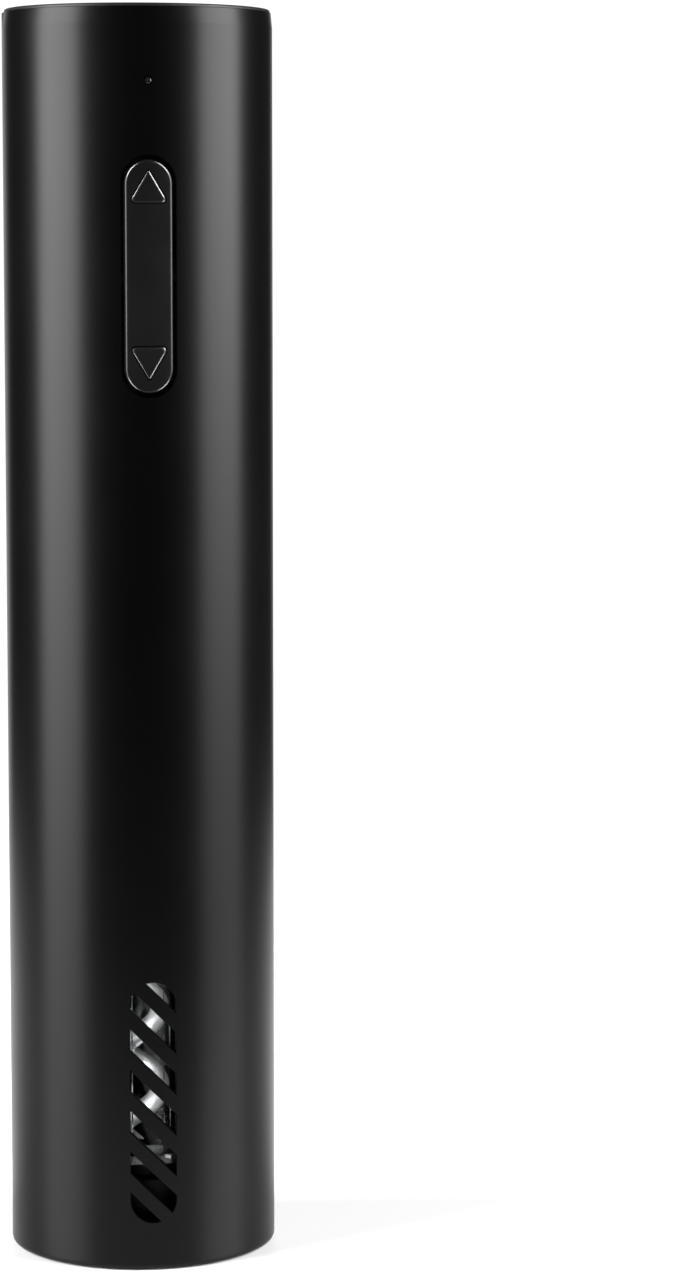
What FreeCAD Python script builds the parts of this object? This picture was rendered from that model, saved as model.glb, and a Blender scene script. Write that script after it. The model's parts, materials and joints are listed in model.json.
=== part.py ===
import FreeCAD, Part
import math
import os
import re
import Sketcher
from FreeCAD import Placement, Rotation, Vector

# Electric wine opener: a black tube that stands on end, mouth down.
# Origin: centre of the mouth, on the surface that the opener stands on.
# +Z is up the tube, and the button, the light and the slotted window face -Y.
# Bottom to top: neck guide, clear cork chamber with the worm, three-stage
# planetary gearbox, motor, battery behind and control board in front, cap.

DIMENSIONS = {
    # outer tube
    "tube_radius": 23.5, "tube_wall": 1.6, "tube_top": 217.4, "foot_fillet": 1.2, "top_chamfer": 0.4,
    # slotted window in the tube
    "window_centre": 29.7, "window_width": 7.9, "window_length": 42.2,
    "slot_pitch": 7.2, "slot_width": 2.6,
    # rocker button and the hole it fills
    "button_centre": 172.1, "button_width": 8.2, "button_length": 39.4,
    "button_hole_width": 9.3, "button_hole_length": 41.0, "button_inner_radius": 20.9,
    "pivot_depth": 18.4, "pivot_radius": 1.0, "post_offset": 13.0, "post_radius": 1.6,
    "post_end_depth": 17.75, "plunger_end_depth": 17.6, "plunger_radius": 1.7,
    "switch_side": 6.0, "switch_face_depth": 16.7,
    "running_gap": 0.03,
    # status light
    "light_height": 205.0, "light_hole_radius": 0.8, "light_pipe_radius": 0.75,
    # charging socket, at the back
    "socket_height": 202.83, "socket_width": 8.94, "socket_thickness": 3.26, "socket_wall": 0.3,
    "socket_mouth": 22.3, "socket_depth": 7.4, "socket_hole_width": 10.6, "socket_hole_height": 4.8,
    # top cap
    "cap_top": 218.0, "cap_rim_radius": 23.1, "cap_skirt_bottom": 211.0, "cap_skirt_wall": 1.6,
    "cap_plate": 2.0, "press_gap": 0.05,
    # neck guide, which centres the opener on a bottle
    "guide_bottom": 0.4, "mouth_radius": 18.2, "mouth_height": 4.0, "neck_radius": 15.8,
    "guide_flange_top": 4.4, "guide_wall_radius": 17.9,
    "seat_bottom": 13.0, "seat_top": 15.0, "cork_hole_radius": 12.6,
    "collar_radius": 16.0, "collar_top": 18.0,
    "guide_screw_circle": 18.9, "guide_boss_radius": 2.9, "guide_recess_depth": 3.0,
    "guide_screw_length": 17.0,
    # clear cork chamber
    "sleeve_inner": 12.7, "sleeve_outer": 14.4, "flange_radius": 21.3, "flange_thickness": 2.0,
    "sleeve_top": 78.0, "flange_gap": 0.2, "rib_count": 12, "rib_height": 0.6, "rib_width": 1.0,
    "sleeve_boss_radius": 2.2, "sleeve_boss_height": 4.5, "sleeve_screw_circle": 17.2,
    "sleeve_screw_length": 5.0,
    # worm and its holder
    "worm_radius": 3.1, "wire_radius": 1.7, "worm_pitch": 14.2, "worm_bottom": 19.4, "worm_top": 62.6,
    "point_length": 5.0, "point_end_radius": 0.15, "worm_angle": 150.0,
    "shank_radius": 3.0, "shank_top": 70.0, "worm_collar_radius": 5.4, "worm_collar_bottom": 62.5,
    "holder_bottom": 64.0, "holder_top": 77.2, "holder_radius": 10.6, "holder_taper": 2.0,
    "grub_height": 67.5, "grub_radius": 1.25, "grub_length": 6.0,
    # gearbox
    "gear_module": 0.5, "sun_teeth": 15, "planet_teeth": 15, "ring_teeth": 45,
    "tooth_thinning": 0.08, "box_radius": 17.5, "box_bottom": 82.0, "box_top": 107.2,
    "cover_bottom": 78.0, "cover_flange_top": 80.5, "output_radius": 4.0, "bush_radius": 6.5,
    "carrier_radius": 10.2, "planet_pin_radius": 1.3, "axial_gap": 0.4,
    "output_plate_bottom": 82.6, "output_plate": 2.8, "output_planet_width": 5.2,
    "second_plate": 2.2, "second_planet_width": 4.6,
    "first_plate": 2.0, "first_planet_width": 4.0,
    "gearbox_screw_circle": 14.8,
    # motor
    "plate_thickness": 2.0, "motor_radius": 12.2, "motor_wall": 0.8, "motor_bottom": 109.2,
    "motor_top": 138.0, "boss_radius": 5.0, "boss_height": 1.5, "end_cap_thickness": 2.6,
    "shaft_radius": 1.0, "bearing_radius": 3.0, "core_bottom": 115.0, "core_top": 131.0,
    "core_radius": 7.6, "core_hub_radius": 2.6, "shoe_thickness": 1.4, "shoe_gap": 1.6,
    "neck_width": 2.4, "coil_start": 3.0, "coil_depth": 2.0, "coil_width": 6.0, "coil_overhang": 1.5,
    "magnet_inner": 8.0, "magnet_outer": 11.2, "magnet_gap": 4.0, "commutator_radius": 2.6,
    "commutator_bottom": 133.6, "commutator_top": 137.4, "motor_screw_offset": 8.0,
    "leaf_offset": 4.2, "leaf_thickness": 0.5, "leaf_width": 2.4, "leaf_length": 9.6, "leaf_room": 0.05,
    # battery cell, boards and chassis
    "cell_radius": 7.1, "cell_bottom": 146.0, "cell_top": 196.0, "cell_offset": 11.0,
    "board_front_depth": 13.2, "board_thickness": 1.2, "board_width": 22.0,
    "board_bottom": 149.5, "board_top": 209.5,
    "charge_board_bottom": 200.0, "charge_board_width": 18.0,
    "chassis_outer": 21.6, "chassis_inner": 20.0, "chassis_top": 210.4,
    "split_gap": 0.1, "chassis_screw_x": 16.6, "chassis_screw_low": 124.0, "chassis_screw_high": 189.0,
    "chassis_boss_width": 5.9, "chassis_boss_depth": 6.0, "chassis_boss_height": 5.2,
    # wires
    "lead_radius": 0.6, "lead_bend": 3.5, "motor_lead_rise": 9.0, "cell_lead_x": 8.5,
    "board_link_x": 8.2, "board_link_y": 6.0, "board_link_drop": 7.0,
    # screws
    "screw_radius": 1.0, "head_radius": 1.9, "head_height": 1.5,
}
PRESSURE_ANGLE = math.radians(20)

doc = FreeCAD.newDocument("wine_opener")
sheet = doc.addObject("Spreadsheet::Sheet", "Sheet")
for row, (word, number) in enumerate(DIMENSIONS.items(), start=1):
    sheet.set(f"A{row}", word.replace("_", " "))
    sheet.set(f"B{row}", str(number))
    sheet.setAlias(f"B{row}", word)
doc.recompute()

nodes = {}


# ---------------------------------------------------------------- helpers

def size(word):
    """The number that the sheet holds under this alias."""
    return float(sheet.get(word))


def formula(text):
    """The same expression with each word read from the sheet, apart from sin and cos."""
    return re.sub(r"\b[a-z][a-z_]+\b(?!\()", lambda word: "Sheet." + word.group(), text)


def bind(thing, **properties):
    """Tie properties to the sheet; base_x, base_y and base_z are its position."""
    for name, text in properties.items():
        path = name.replace("base_", "Placement.Base.")
        thing.setExpression(path, formula(text))
    return thing


def node(label, thing):
    """Name a finished piece; its shape goes to a file of that name."""
    thing.Label = label
    nodes[label] = thing
    return thing


def box(name, low, span):
    """Block from its lowest corner and its three lengths."""
    block = doc.addObject("Part::Box", name)
    return bind(block, base_x=low[0], base_y=low[1], base_z=low[2],
                Length=span[0], Width=span[1], Height=span[2])


def spoke(name, angle, start, length, width, bottom, height):
    """Block that runs outwards from the main axis, at an angle in degrees."""
    block = doc.addObject("Part::Box", name)
    block.Placement = Placement(Vector(), Rotation(Vector(0, 0, 1), angle))
    return bind(block, Length=length, Width=width, Height=height, base_z=bottom,
                base_x=f"({start}) * cos({angle}) + ({width}) / 2 * sin({angle})",
                base_y=f"({start}) * sin({angle}) - ({width}) / 2 * cos({angle})")


TURNS = {
    "x": Rotation(Vector(0, 1, 0), 90),
    "y": Rotation(Vector(1, 0, 0), -90),
    "z": Rotation(),
}


def rod(name, radius, base, length, along="z"):
    """Round bar that starts at base and runs up one axis."""
    bar = doc.addObject("Part::Cylinder", name)
    bar.Placement = Placement(Vector(), TURNS[along])
    return bind(bar, base_x=base[0], base_y=base[1], base_z=base[2], Radius=radius, Height=length)


def cut(name, base, tool):
    piece = doc.addObject("Part::Cut", name)
    piece.Base = base
    piece.Tool = tool
    return piece


def fuse(name, pieces):
    piece = doc.addObject("Part::MultiFuse", name)
    piece.Shapes = pieces
    return piece


def common(name, pieces):
    piece = doc.addObject("Part::MultiCommon", name)
    piece.Shapes = pieces
    return piece


def group(name, pieces):
    """Separate solids that share one node."""
    piece = doc.addObject("Part::Compound", name)
    piece.Links = pieces
    return piece


def origin_plane(body, role):
    return next(item for item in body.Origin.OriginFeatures if item.Role == role)


def outline_sketch(body, outline):
    """Closed polygon in the XZ plane; each corner is (radius, height) from the sheet."""
    sketch = body.newObject("Sketcher::SketchObject", body.Name + "_outline")
    sketch.AttachmentSupport = (origin_plane(body, "XZ_Plane"), "")
    sketch.MapMode = "FlatFace"
    count = len(outline)
    guess = [Vector(20 + 5 * math.cos(2 * math.pi * k / count), 20 + 5 * math.sin(2 * math.pi * k / count), 0)
             for k in range(count)]
    for k in range(count):
        sketch.addGeometry(Part.LineSegment(guess[k], guess[(k + 1) % count]), False)
    for k in range(count):
        sketch.addConstraint(Sketcher.Constraint("Coincident", k, 2, (k + 1) % count, 1))
    for k, (radius, height) in enumerate(outline):
        for text, kind, axis, start in ((radius, "DistanceX", -2, guess[k].x),
                                        (height, "DistanceY", -1, guess[k].y)):
            if text == "0":
                sketch.addConstraint(Sketcher.Constraint("PointOnObject", k, 1, axis))
            else:
                index = sketch.addConstraint(Sketcher.Constraint(kind, -1, 1, k, 1, start))
                sketch.setExpression(f"Constraints[{index}]", formula(text))
    return sketch


def turned(name, outline, angle=360, reverse=False):
    """Body turned about Z from an outline of (radius, height) corners."""
    body = doc.addObject("PartDesign::Body", name)
    sketch = outline_sketch(body, outline)
    turn = body.newObject("PartDesign::Revolution", name + "_turn")
    turn.Profile = (sketch, [""])
    turn.ReferenceAxis = (sketch, ["V_Axis"])
    turn.Angle = angle
    turn.Reversed = reverse
    sketch.Visibility = False
    body.Tip = turn
    return body


def ring(name, inner, outer, bottom, top):
    return turned(name, [(inner, bottom), (outer, bottom), (outer, top), (inner, top)])


def obround(name, width, length, centre, front, depth, flat=False):
    """Round-ended block along Z, or along X if flat, that runs up the Y axis from front."""
    half_run = f"({length}) / 2 - ({width}) / 2"
    if flat:
        ends = [(f"-({half_run})", centre), (half_run, centre)]
        low = (f"-({half_run})", front, f"{centre} - ({width}) / 2")
        span = (f"2 * ({half_run})", depth, width)
    else:
        ends = [("0", f"{centre} - ({half_run})"), ("0", f"{centre} + ({half_run})")]
        low = (f"-({width}) / 2", front, f"{centre} - ({half_run})")
        span = (width, depth, f"2 * ({half_run})")
    rounds = [rod(f"{name}_end_{k}", f"({width}) / 2", (x, front, z), depth, "y")
              for k, (x, z) in enumerate(ends)]
    return fuse(name, rounds + [box(name + "_middle", low, span)])


def around(name, count, circle, radius, bottom, length, first=0.0):
    """Round bars parallel to Z, evenly spaced on a circle."""
    bars = []
    for k in range(count):
        angle = first + 360 * k / count
        bars.append(rod(f"{name}_{k}", radius, (f"{circle} * cos({angle})", f"{circle} * sin({angle})", bottom),
                        length))
    return bars


def screws(name, places, shank, along="z", head_first=True):
    """Pan-head screws; each place is where the head's seat is, and the shank runs up the axis."""
    made = []
    for k, place in enumerate(places):
        shift = "-head_height" if head_first else shank
        head_base = list(place)
        axis = "xyz".index(along)
        head_base[axis] = f"{place[axis]} + ({shift})"
        head = rod(f"{name}_head_{k}", "head_radius", head_base, "head_height", along)
        stem = rod(f"{name}_stem_{k}", "screw_radius", place, shank, along)
        made.append(fuse(f"{name}_{k}", [head, stem]))
    return group(name, made)


def on_circle(circle, height, count, first=0.0):
    """Places evenly spaced on a circle at one height."""
    places = []
    for k in range(count):
        angle = first + 360 * k / count
        places.append((f"{circle} * cos({angle})", f"{circle} * sin({angle})", height))
    return places


# ---------------------------------------------------------------- outer shell

def make_outer_tube():
    bore = "tube_radius - tube_wall"
    shell = turned("tube_shell", [(bore, "0"), ("tube_radius", "0"), ("tube_radius", "tube_top"),
                                  (bore, "tube_top")])
    doc.recompute()
    turn = shell.Tip
    foot = shell.newObject("PartDesign::Fillet", "tube_foot_fillet")
    foot.Base = (turn, [outer_edge(turn, 0.0)])
    bind(foot, Radius="foot_fillet")
    shell.Tip = foot
    doc.recompute()
    lip = shell.newObject("PartDesign::Chamfer", "tube_top_chamfer")
    lip.Base = (foot, [outer_edge(foot, size("tube_top"))])
    bind(lip, Size="top_chamfer")
    shell.Tip = lip

    front = "-(tube_radius + 1)"
    depth = "tube_wall + 3"
    window = obround("window_area", "window_width", "window_length", "window_centre", front, depth)
    strips = []
    for k in range(-3, 4):
        strip = doc.addObject("Part::Box", f"slot_strip_{k + 3}")
        strip.Placement = Placement(Vector(), Rotation(Vector(0, 1, 0), 45))
        # the strip's middle line meets the window's centre line at slot number k
        run = f"(window_centre + {k} * slot_pitch)"
        bind(strip, Length="4 * window_width", Width=depth, Height="slot_width",
             base_x="-2 * window_width * cos(45) - slot_width / 2 * sin(45)", base_y=front,
             base_z=f"{run} + 2 * window_width * sin(45) - slot_width / 2 * cos(45)")
        strips.append(strip)
    slots = common("window_slots", [window, group("slot_strips", strips)])
    button_hole = obround("button_hole", "button_hole_width", "button_hole_length", "button_centre",
                          front, depth)
    light_hole = rod("light_hole", "light_hole_radius", ("0", front, "light_height"), depth, "y")
    socket_hole = obround("socket_hole", "socket_hole_height", "socket_hole_width", "socket_height",
                          "tube_radius - tube_wall - 1", "tube_wall + 2", flat=True)
    holes = group("tube_holes", [slots, button_hole, light_hole, socket_hole])
    node("outer_tube", cut("tube_with_holes", shell, holes))


def outer_edge(feature, height):
    """Name of the round edge on the outside of the tube at this height."""
    for number, edge in enumerate(feature.Shape.Edges, start=1):
        curve = edge.Curve
        if isinstance(curve, Part.Circle) and abs(curve.Center.z - height) < 1e-6:
            if abs(curve.Radius - size("tube_radius")) < 1e-6:
                return f"Edge{number}"
    raise ValueError(f"no outer edge at {height}")


def make_top_cap():
    skirt = "tube_radius - tube_wall - press_gap"
    hollow = f"{skirt} - cap_skirt_wall"
    under = "cap_top - cap_plate"
    node("top_cap", turned("cap", [
        ("0", under), (hollow, under), (hollow, "cap_skirt_bottom"), (skirt, "cap_skirt_bottom"),
        (skirt, "tube_top"), ("cap_rim_radius", "tube_top"), ("cap_rim_radius", "cap_top"), ("0", "cap_top")]))


def make_neck_guide():
    """Flared mouth, bottle bore, seat and collar; three screw bosses stand on its flange."""
    flange = "tube_radius - tube_wall - press_gap"
    body = turned("guide", [
        ("mouth_radius", "guide_bottom"), (flange, "guide_bottom"), (flange, "guide_flange_top"),
        ("guide_wall_radius", "guide_flange_top"), ("guide_wall_radius", "seat_top"),
        ("collar_radius", "seat_top"), ("collar_radius", "collar_top"),
        ("sleeve_outer + press_gap", "collar_top"), ("sleeve_outer + press_gap", "seat_top"),
        ("cork_hole_radius", "seat_top"), ("cork_hole_radius", "seat_bottom"),
        ("neck_radius", "seat_bottom"), ("neck_radius", "mouth_height")])
    bosses = around("guide_boss", 3, "guide_screw_circle", "guide_boss_radius", "mouth_height",
                    "seat_top - mouth_height", first=90)
    seat = "guide_bottom + guide_recess_depth"
    holes = around("guide_recess", 3, "guide_screw_circle", "head_radius + press_gap", "guide_bottom",
                   "guide_recess_depth", first=90)
    holes += around("guide_screw_hole", 3, "guide_screw_circle", "screw_radius + press_gap", seat,
                    f"seat_top - ({seat})", first=90)
    node("neck_guide", cut("guide_drilled", fuse("guide_solid", [body] + bosses), group("guide_holes", holes)))
    node("guide_screws", screws("guide_screw", on_circle("guide_screw_circle", seat, 3, first=90),
                                "guide_screw_length"))


def make_cork_sleeve():
    """Clear chamber that holds the pulled cork; inner ribs stop the cork from turning."""
    foot = "collar_top + flange_gap"
    flange_bottom = "sleeve_top - flange_thickness"
    wall = turned("sleeve_wall", [
        ("sleeve_inner", "seat_top"), ("sleeve_outer", "seat_top"), ("sleeve_outer", foot),
        ("flange_radius", foot), ("flange_radius", f"{foot} + flange_thickness"),
        ("sleeve_outer", f"{foot} + flange_thickness"), ("sleeve_outer", flange_bottom),
        ("flange_radius", flange_bottom), ("flange_radius", "sleeve_top"), ("sleeve_inner", "sleeve_top")])
    count = int(size("rib_count"))
    rib_bottom = "seat_top + flange_thickness"
    ribs = [spoke(f"sleeve_rib_{k}", (k + 0.5) * 360 / count, "sleeve_inner - rib_height", "rib_height + 0.5",
                  "rib_width", rib_bottom, f"{flange_bottom} - ({rib_bottom})") for k in range(count)]
    bosses = around("sleeve_boss", 3, "guide_screw_circle", "sleeve_boss_radius", foot, "sleeve_boss_height",
                    first=90)
    whole = fuse("sleeve_body", [wall] + ribs + bosses)
    holes = around("sleeve_boss_hole", 3, "guide_screw_circle", "screw_radius", "collar_top", "3.9", first=90)
    holes += around("sleeve_flange_hole", 3, "sleeve_screw_circle", "screw_radius + press_gap",
                    flange_bottom + " - 1", "flange_thickness + 2", first=30)
    node("cork_sleeve", cut("sleeve_drilled", whole, group("sleeve_holes", holes)))
    node("sleeve_screws", screws("sleeve_screw", on_circle("sleeve_screw_circle", flange_bottom, 3, first=30),
                                 "sleeve_screw_length"))


# ---------------------------------------------------------------- worm

def make_worm():
    """Right-handed steel helix with a ground point, a collar and a straight shank."""
    spine = doc.addObject("Part::Helix", "worm_spine")
    spine.LocalCoord = 0
    bind(spine, Pitch="worm_pitch", Height="worm_top - worm_bottom", Radius="worm_radius", base_z="worm_bottom")
    lead = math.atan2(size("worm_pitch"), 2 * math.pi * size("worm_radius"))
    start = Vector(size("worm_radius"), 0, size("worm_bottom"))
    forward = Vector(0, math.cos(lead), math.sin(lead))
    section = doc.addObject("Part::Circle", "worm_section")
    section.Placement = Placement(start, Rotation(Vector(0, 0, 1), forward))
    bind(section, Radius="wire_radius")
    coil = doc.addObject("Part::Sweep", "worm_coil")
    coil.Sections = [section]
    coil.Spine = (spine, [])
    coil.Solid = True
    coil.Frenet = True
    point = doc.addObject("Part::Cone", "worm_point")
    point.Placement = Placement(start, Rotation(Vector(0, 0, 1), forward * -1))
    bind(point, Radius1="wire_radius", Radius2="point_end_radius", Height="point_length")
    collar = turned("worm_collar", [
        ("0", "worm_collar_bottom"), ("worm_collar_radius", "worm_collar_bottom"),
        ("worm_collar_radius", "holder_bottom"), ("shank_radius", "holder_bottom"),
        ("shank_radius", "shank_top"), ("0", "shank_top")])
    whole = fuse("worm_whole", [coil, point, collar])
    whole.Placement = Placement(Vector(), Rotation(Vector(0, 0, 1), 1))
    whole.setExpression("Placement.Rotation.Angle", formula("worm_angle"))
    node("worm", whole)


def make_worm_holder():
    """Zinc hub that joins the output shaft to the worm, locked by a grub screw."""
    socket = "shank_top + 0.2"
    hub = turned("holder_hub", [
        ("shank_radius", "holder_bottom"), ("holder_radius - holder_taper", "holder_bottom"),
        ("holder_radius", "holder_bottom + holder_taper"), ("holder_radius", "holder_top"),
        ("output_radius", "holder_top"), ("output_radius", socket), ("shank_radius", socket)])
    tapped = rod("holder_tap", "grub_radius", ("shank_radius - 1", "0", "grub_height"), "holder_radius", "x")
    node("worm_holder", cut("holder_tapped", hub, tapped))
    node("holder_screw", rod("grub_screw", "grub_radius", ("shank_radius", "0", "grub_height"), "grub_length", "x"))


# ---------------------------------------------------------------- gearbox

def involute(angle):
    return math.tan(angle) - angle


def toothed_prism(name, teeth, inner, outer, widening, bottom, height, turn=0.0):
    """Prism with involute teeth between two radii; widening is added to each tooth's width."""
    pitch_radius = size("gear_module") * teeth / 2
    base_radius = pitch_radius * math.cos(PRESSURE_ANGLE)
    half_width = math.pi / (2 * teeth) + widening / (2 * pitch_radius)
    radii = sorted({inner, max(inner, base_radius), pitch_radius, (pitch_radius + outer) / 2, outer})

    def half_angle(radius):
        if radius <= base_radius:
            return half_width + involute(PRESSURE_ANGLE)
        return half_width + involute(PRESSURE_ANGLE) - involute(math.acos(base_radius / radius))

    corners = []
    for tooth in range(teeth):
        middle = turn + 2 * math.pi * tooth / teeth
        flank = [(radius, middle - half_angle(radius)) for radius in radii]
        flank += [(radius, middle + half_angle(radius)) for radius in reversed(radii)]
        corners += [Vector(radius * math.cos(a), radius * math.sin(a), bottom) for radius, a in flank]
    outline = Part.makePolygon(corners + corners[:1])
    prism = doc.addObject("Part::Feature", name)
    prism.Shape = Part.Face(outline).extrude(Vector(0, 0, height))
    return prism


def outer_gear(name, teeth, bottom, height, turn=0.0):
    """External gear of the box's module, with room in the mesh for smooth running."""
    module = size("gear_module")
    pitch_radius = module * teeth / 2
    return toothed_prism(name, teeth, pitch_radius - 1.25 * module, pitch_radius + module,
                         -size("tooth_thinning"), bottom, height, turn)


def stage_heights():
    """Bottom of the planets and of the carrier plate above them, stage 3 to stage 1."""
    gap = size("axial_gap")
    heights = {}
    heights["planets_3"] = size("output_plate_bottom") + size("output_plate") + gap
    heights["plate_2"] = heights["planets_3"] + size("output_planet_width") + 1.5 * gap
    heights["planets_2"] = heights["plate_2"] + size("second_plate") + gap
    heights["plate_1"] = heights["planets_2"] + size("second_planet_width") + 1.5 * gap
    heights["planets_1"] = heights["plate_1"] + size("first_plate") + gap
    return heights


def planet_circle():
    return size("gear_module") * (size("sun_teeth") + size("planet_teeth")) / 2


def make_ring_gear():
    module = size("gear_module")
    pitch_radius = module * size("ring_teeth") / 2
    blank = rod("ring_blank", "box_radius", ("0", "0", "box_bottom"), "box_top - box_bottom")
    teeth = toothed_prism("ring_spaces", int(size("ring_teeth")), pitch_radius - module,
                          pitch_radius + 1.3 * module, size("tooth_thinning"),
                          size("box_bottom") - 1, size("box_top") - size("box_bottom") + 2)
    bolts = around("ring_bolt_hole", 4, "gearbox_screw_circle", "screw_radius + press_gap",
                   "box_bottom - 1", "box_top - box_bottom + 2", first=45)
    node("ring_gear", cut("ring_cut", blank, group("ring_tools", [teeth] + bolts)))


def make_gearbox_ends():
    cover = turned("cover", [
        ("bush_radius", "cover_bottom"), ("flange_radius", "cover_bottom"), ("flange_radius", "cover_flange_top"),
        ("box_radius", "cover_flange_top"), ("box_radius", "box_bottom"), ("bush_radius", "box_bottom")])
    bolts = around("cover_bolt_hole", 4, "gearbox_screw_circle", "screw_radius", "cover_bottom + 1.5",
                   "box_bottom - cover_bottom", first=45)
    bolts += around("cover_sleeve_hole", 3, "sleeve_screw_circle", "screw_radius", "cover_bottom - 1",
                    "4", first=30)
    node("gearbox_cover", cut("cover_drilled", cover, group("cover_holes", bolts)))
    node("output_bush", ring("bush_output", "output_radius + running_gap", "bush_radius", "cover_bottom",
                             "box_bottom"))
    plate = ring("plate_blank", "boss_radius + press_gap", "box_radius", "box_top", "motor_bottom")
    holes = around("plate_bolt_hole", 4, "gearbox_screw_circle", "screw_radius + press_gap", "box_top - 1",
                   "plate_thickness + 2", first=45)
    for k, side in enumerate((-1, 1)):
        sink = doc.addObject("Part::Cone", f"plate_sink_{k}")
        bind(sink, Radius1="screw_radius + 1.2", Radius2="screw_radius + 0.2", Height="1",
             base_x=f"{side} * motor_screw_offset", base_z="box_top")
        holes += [sink, rod(f"plate_motor_hole_{k}", "screw_radius + 0.2",
                            (f"{side} * motor_screw_offset", "0", "box_top"), "plate_thickness + 1")]
    node("motor_plate", cut("plate_drilled", plate, fuse("plate_holes", holes)))
    shank = "motor_bottom - cover_bottom - 1.7"
    node("gearbox_screws", screws("gearbox_screw", on_circle("gearbox_screw_circle", "cover_bottom + 1.7", 4, 45),
                                  shank, head_first=False))


def make_carriers():
    heights = stage_heights()
    sun = int(size("sun_teeth"))
    gap = size("axial_gap")
    circle = planet_circle()

    shaft = turned("output_shaft", [
        ("0", "shank_top + 0.3"), ("output_radius", "shank_top + 0.3"), ("output_radius", "output_plate_bottom"),
        ("carrier_radius", "output_plate_bottom"), ("carrier_radius", "output_plate_bottom + output_plate"),
        ("0", "output_plate_bottom + output_plate")])
    sockets = around("output_pin_socket", 3, str(circle), "planet_pin_radius", "output_plate_bottom + 0.6", "5")
    node("output_carrier", cut("output_drilled", shaft, group("output_sockets", sockets)))
    pins = around("output_pin", 3, str(circle), "planet_pin_radius", "output_plate_bottom + 0.6",
                  "output_plate + output_planet_width - 0.1")
    node("output_pins", group("output_pin_set", pins))

    for stage, planet_width, plate in ((2, "second_planet_width", "second_plate"),
                                       (1, "first_planet_width", "first_plate")):
        bottom = heights[f"plate_{stage}"]
        disc = rod(f"carrier_disc_{stage}", "carrier_radius", ("0", "0", str(bottom)), plate)
        posts = around(f"carrier_post_{stage}", 3, str(circle), "planet_pin_radius", str(bottom),
                       f"{plate} + {planet_width} + 1.2 * axial_gap")
        teeth_bottom = heights[f"planets_{stage + 1}"]
        teeth = outer_gear(f"carrier_sun_{stage}", sun, teeth_bottom, bottom - teeth_bottom + gap / 2)
        node(f"carrier_{stage}", fuse(f"carrier_whole_{stage}", [disc, teeth] + posts))


def make_planets():
    """Three planets to a stage; a tooth of each points straight out from the main axis."""
    heights = stage_heights()
    widths = {3: "output_planet_width", 2: "second_planet_width", 1: "first_planet_width"}
    teeth = int(size("planet_teeth"))
    for stage, width in widths.items():
        bottom = heights[f"planets_{stage}"]
        for k, letter in enumerate("abc"):
            angle = 2 * math.pi * k / 3
            name = f"planet_{stage}_{letter}"
            blank = outer_gear(name + "_teeth", teeth, bottom, size(width), turn=angle)
            blank.Placement = Placement(Vector(planet_circle() * math.cos(angle),
                                               planet_circle() * math.sin(angle), 0), Rotation())
            bore = rod(name + "_bore", "planet_pin_radius + running_gap + 0.01",
                       (str(blank.Placement.Base.x), str(blank.Placement.Base.y), str(bottom - 1)), "10")
            node(name, cut(name + "_bored", blank, bore))


# ---------------------------------------------------------------- motor

def make_motor_stator():
    inside = "motor_radius - motor_wall"
    can = turned("can", [
        ("bearing_radius", "motor_bottom - boss_height"), ("boss_radius", "motor_bottom - boss_height"),
        ("boss_radius", "motor_bottom"), ("motor_radius", "motor_bottom"), ("motor_radius", "motor_top"),
        (inside, "motor_top"), (inside, "motor_bottom + 1.2"), ("bearing_radius", "motor_bottom + 1.2")])
    taps = [rod(f"can_tap_{k}", "screw_radius", (f"{side} * motor_screw_offset", "0", "motor_bottom - 1"), "3")
            for k, side in enumerate((-1, 1))]
    node("motor_can", cut("can_tapped", can, group("can_taps", taps)))

    fixings = []
    for k, side in enumerate((-1, 1)):
        head = doc.addObject("Part::Cone", f"motor_screw_head_{k}")
        bind(head, Radius1="screw_radius + 1", Radius2="screw_radius", Height="1",
             base_x=f"{side} * motor_screw_offset", base_z="box_top")
        stem = rod(f"motor_screw_stem_{k}", "screw_radius", (f"{side} * motor_screw_offset", "0", "box_top"), "4.5")
        fixings.append(fuse(f"motor_screw_{k}", [head, stem]))
    node("motor_screws", group("motor_screw_set", fixings))

    full = ring("magnet_ring", "magnet_inner", "magnet_outer", "core_bottom - 1", "core_top + 1")
    gap = box("magnet_gap_block", ("-magnet_gap / 2", "-motor_radius", "core_bottom - 2"),
              ("magnet_gap", "2 * motor_radius", "core_top - core_bottom + 4"))
    node("motor_magnets", cut("magnet_pair", full, gap))

    cap = turned("end_cap", [
        ("bearing_radius", "motor_top - 1.5"), (inside + " - press_gap", "motor_top - 1.5"),
        (inside + " - press_gap", "motor_top"), ("motor_radius", "motor_top"),
        ("motor_radius", "motor_top + end_cap_thickness"), ("bearing_radius", "motor_top + end_cap_thickness")])
    leaf_slots = []
    brushes = []
    for k, angle in enumerate((0, 180)):
        leaf_slots.append(spoke(f"leaf_slot_{k}", angle, "leaf_offset - leaf_room",
                                "leaf_thickness + 2 * leaf_room", "leaf_width + 4 * leaf_room",
                                "motor_top - 3", "end_cap_thickness + 8"))
        leaf = spoke(f"brush_leaf_{k}", angle, "leaf_offset", "leaf_thickness", "leaf_width",
                     "commutator_bottom", "leaf_length")
        block = spoke(f"brush_block_{k}", angle, "commutator_radius + running_gap",
                      "leaf_offset - commutator_radius - running_gap", "2", "commutator_bottom + 0.8", "2")
        brushes.append(fuse(f"brush_{k}", [leaf, block]))
    node("motor_end_cap", cut("end_cap_slotted", cap, group("leaf_slots", leaf_slots)))
    node("motor_brushes", group("brush_pair", brushes))

    bearings = [ring("front_bearing", "shaft_radius + running_gap", "bearing_radius", "motor_bottom - boss_height",
                     "motor_bottom + 1.2"),
                ring("rear_bearing", "shaft_radius + running_gap", "bearing_radius", "motor_top - 0.4",
                     "motor_top + end_cap_thickness")]
    node("motor_bushes", group("bearing_pair", bearings))


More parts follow.
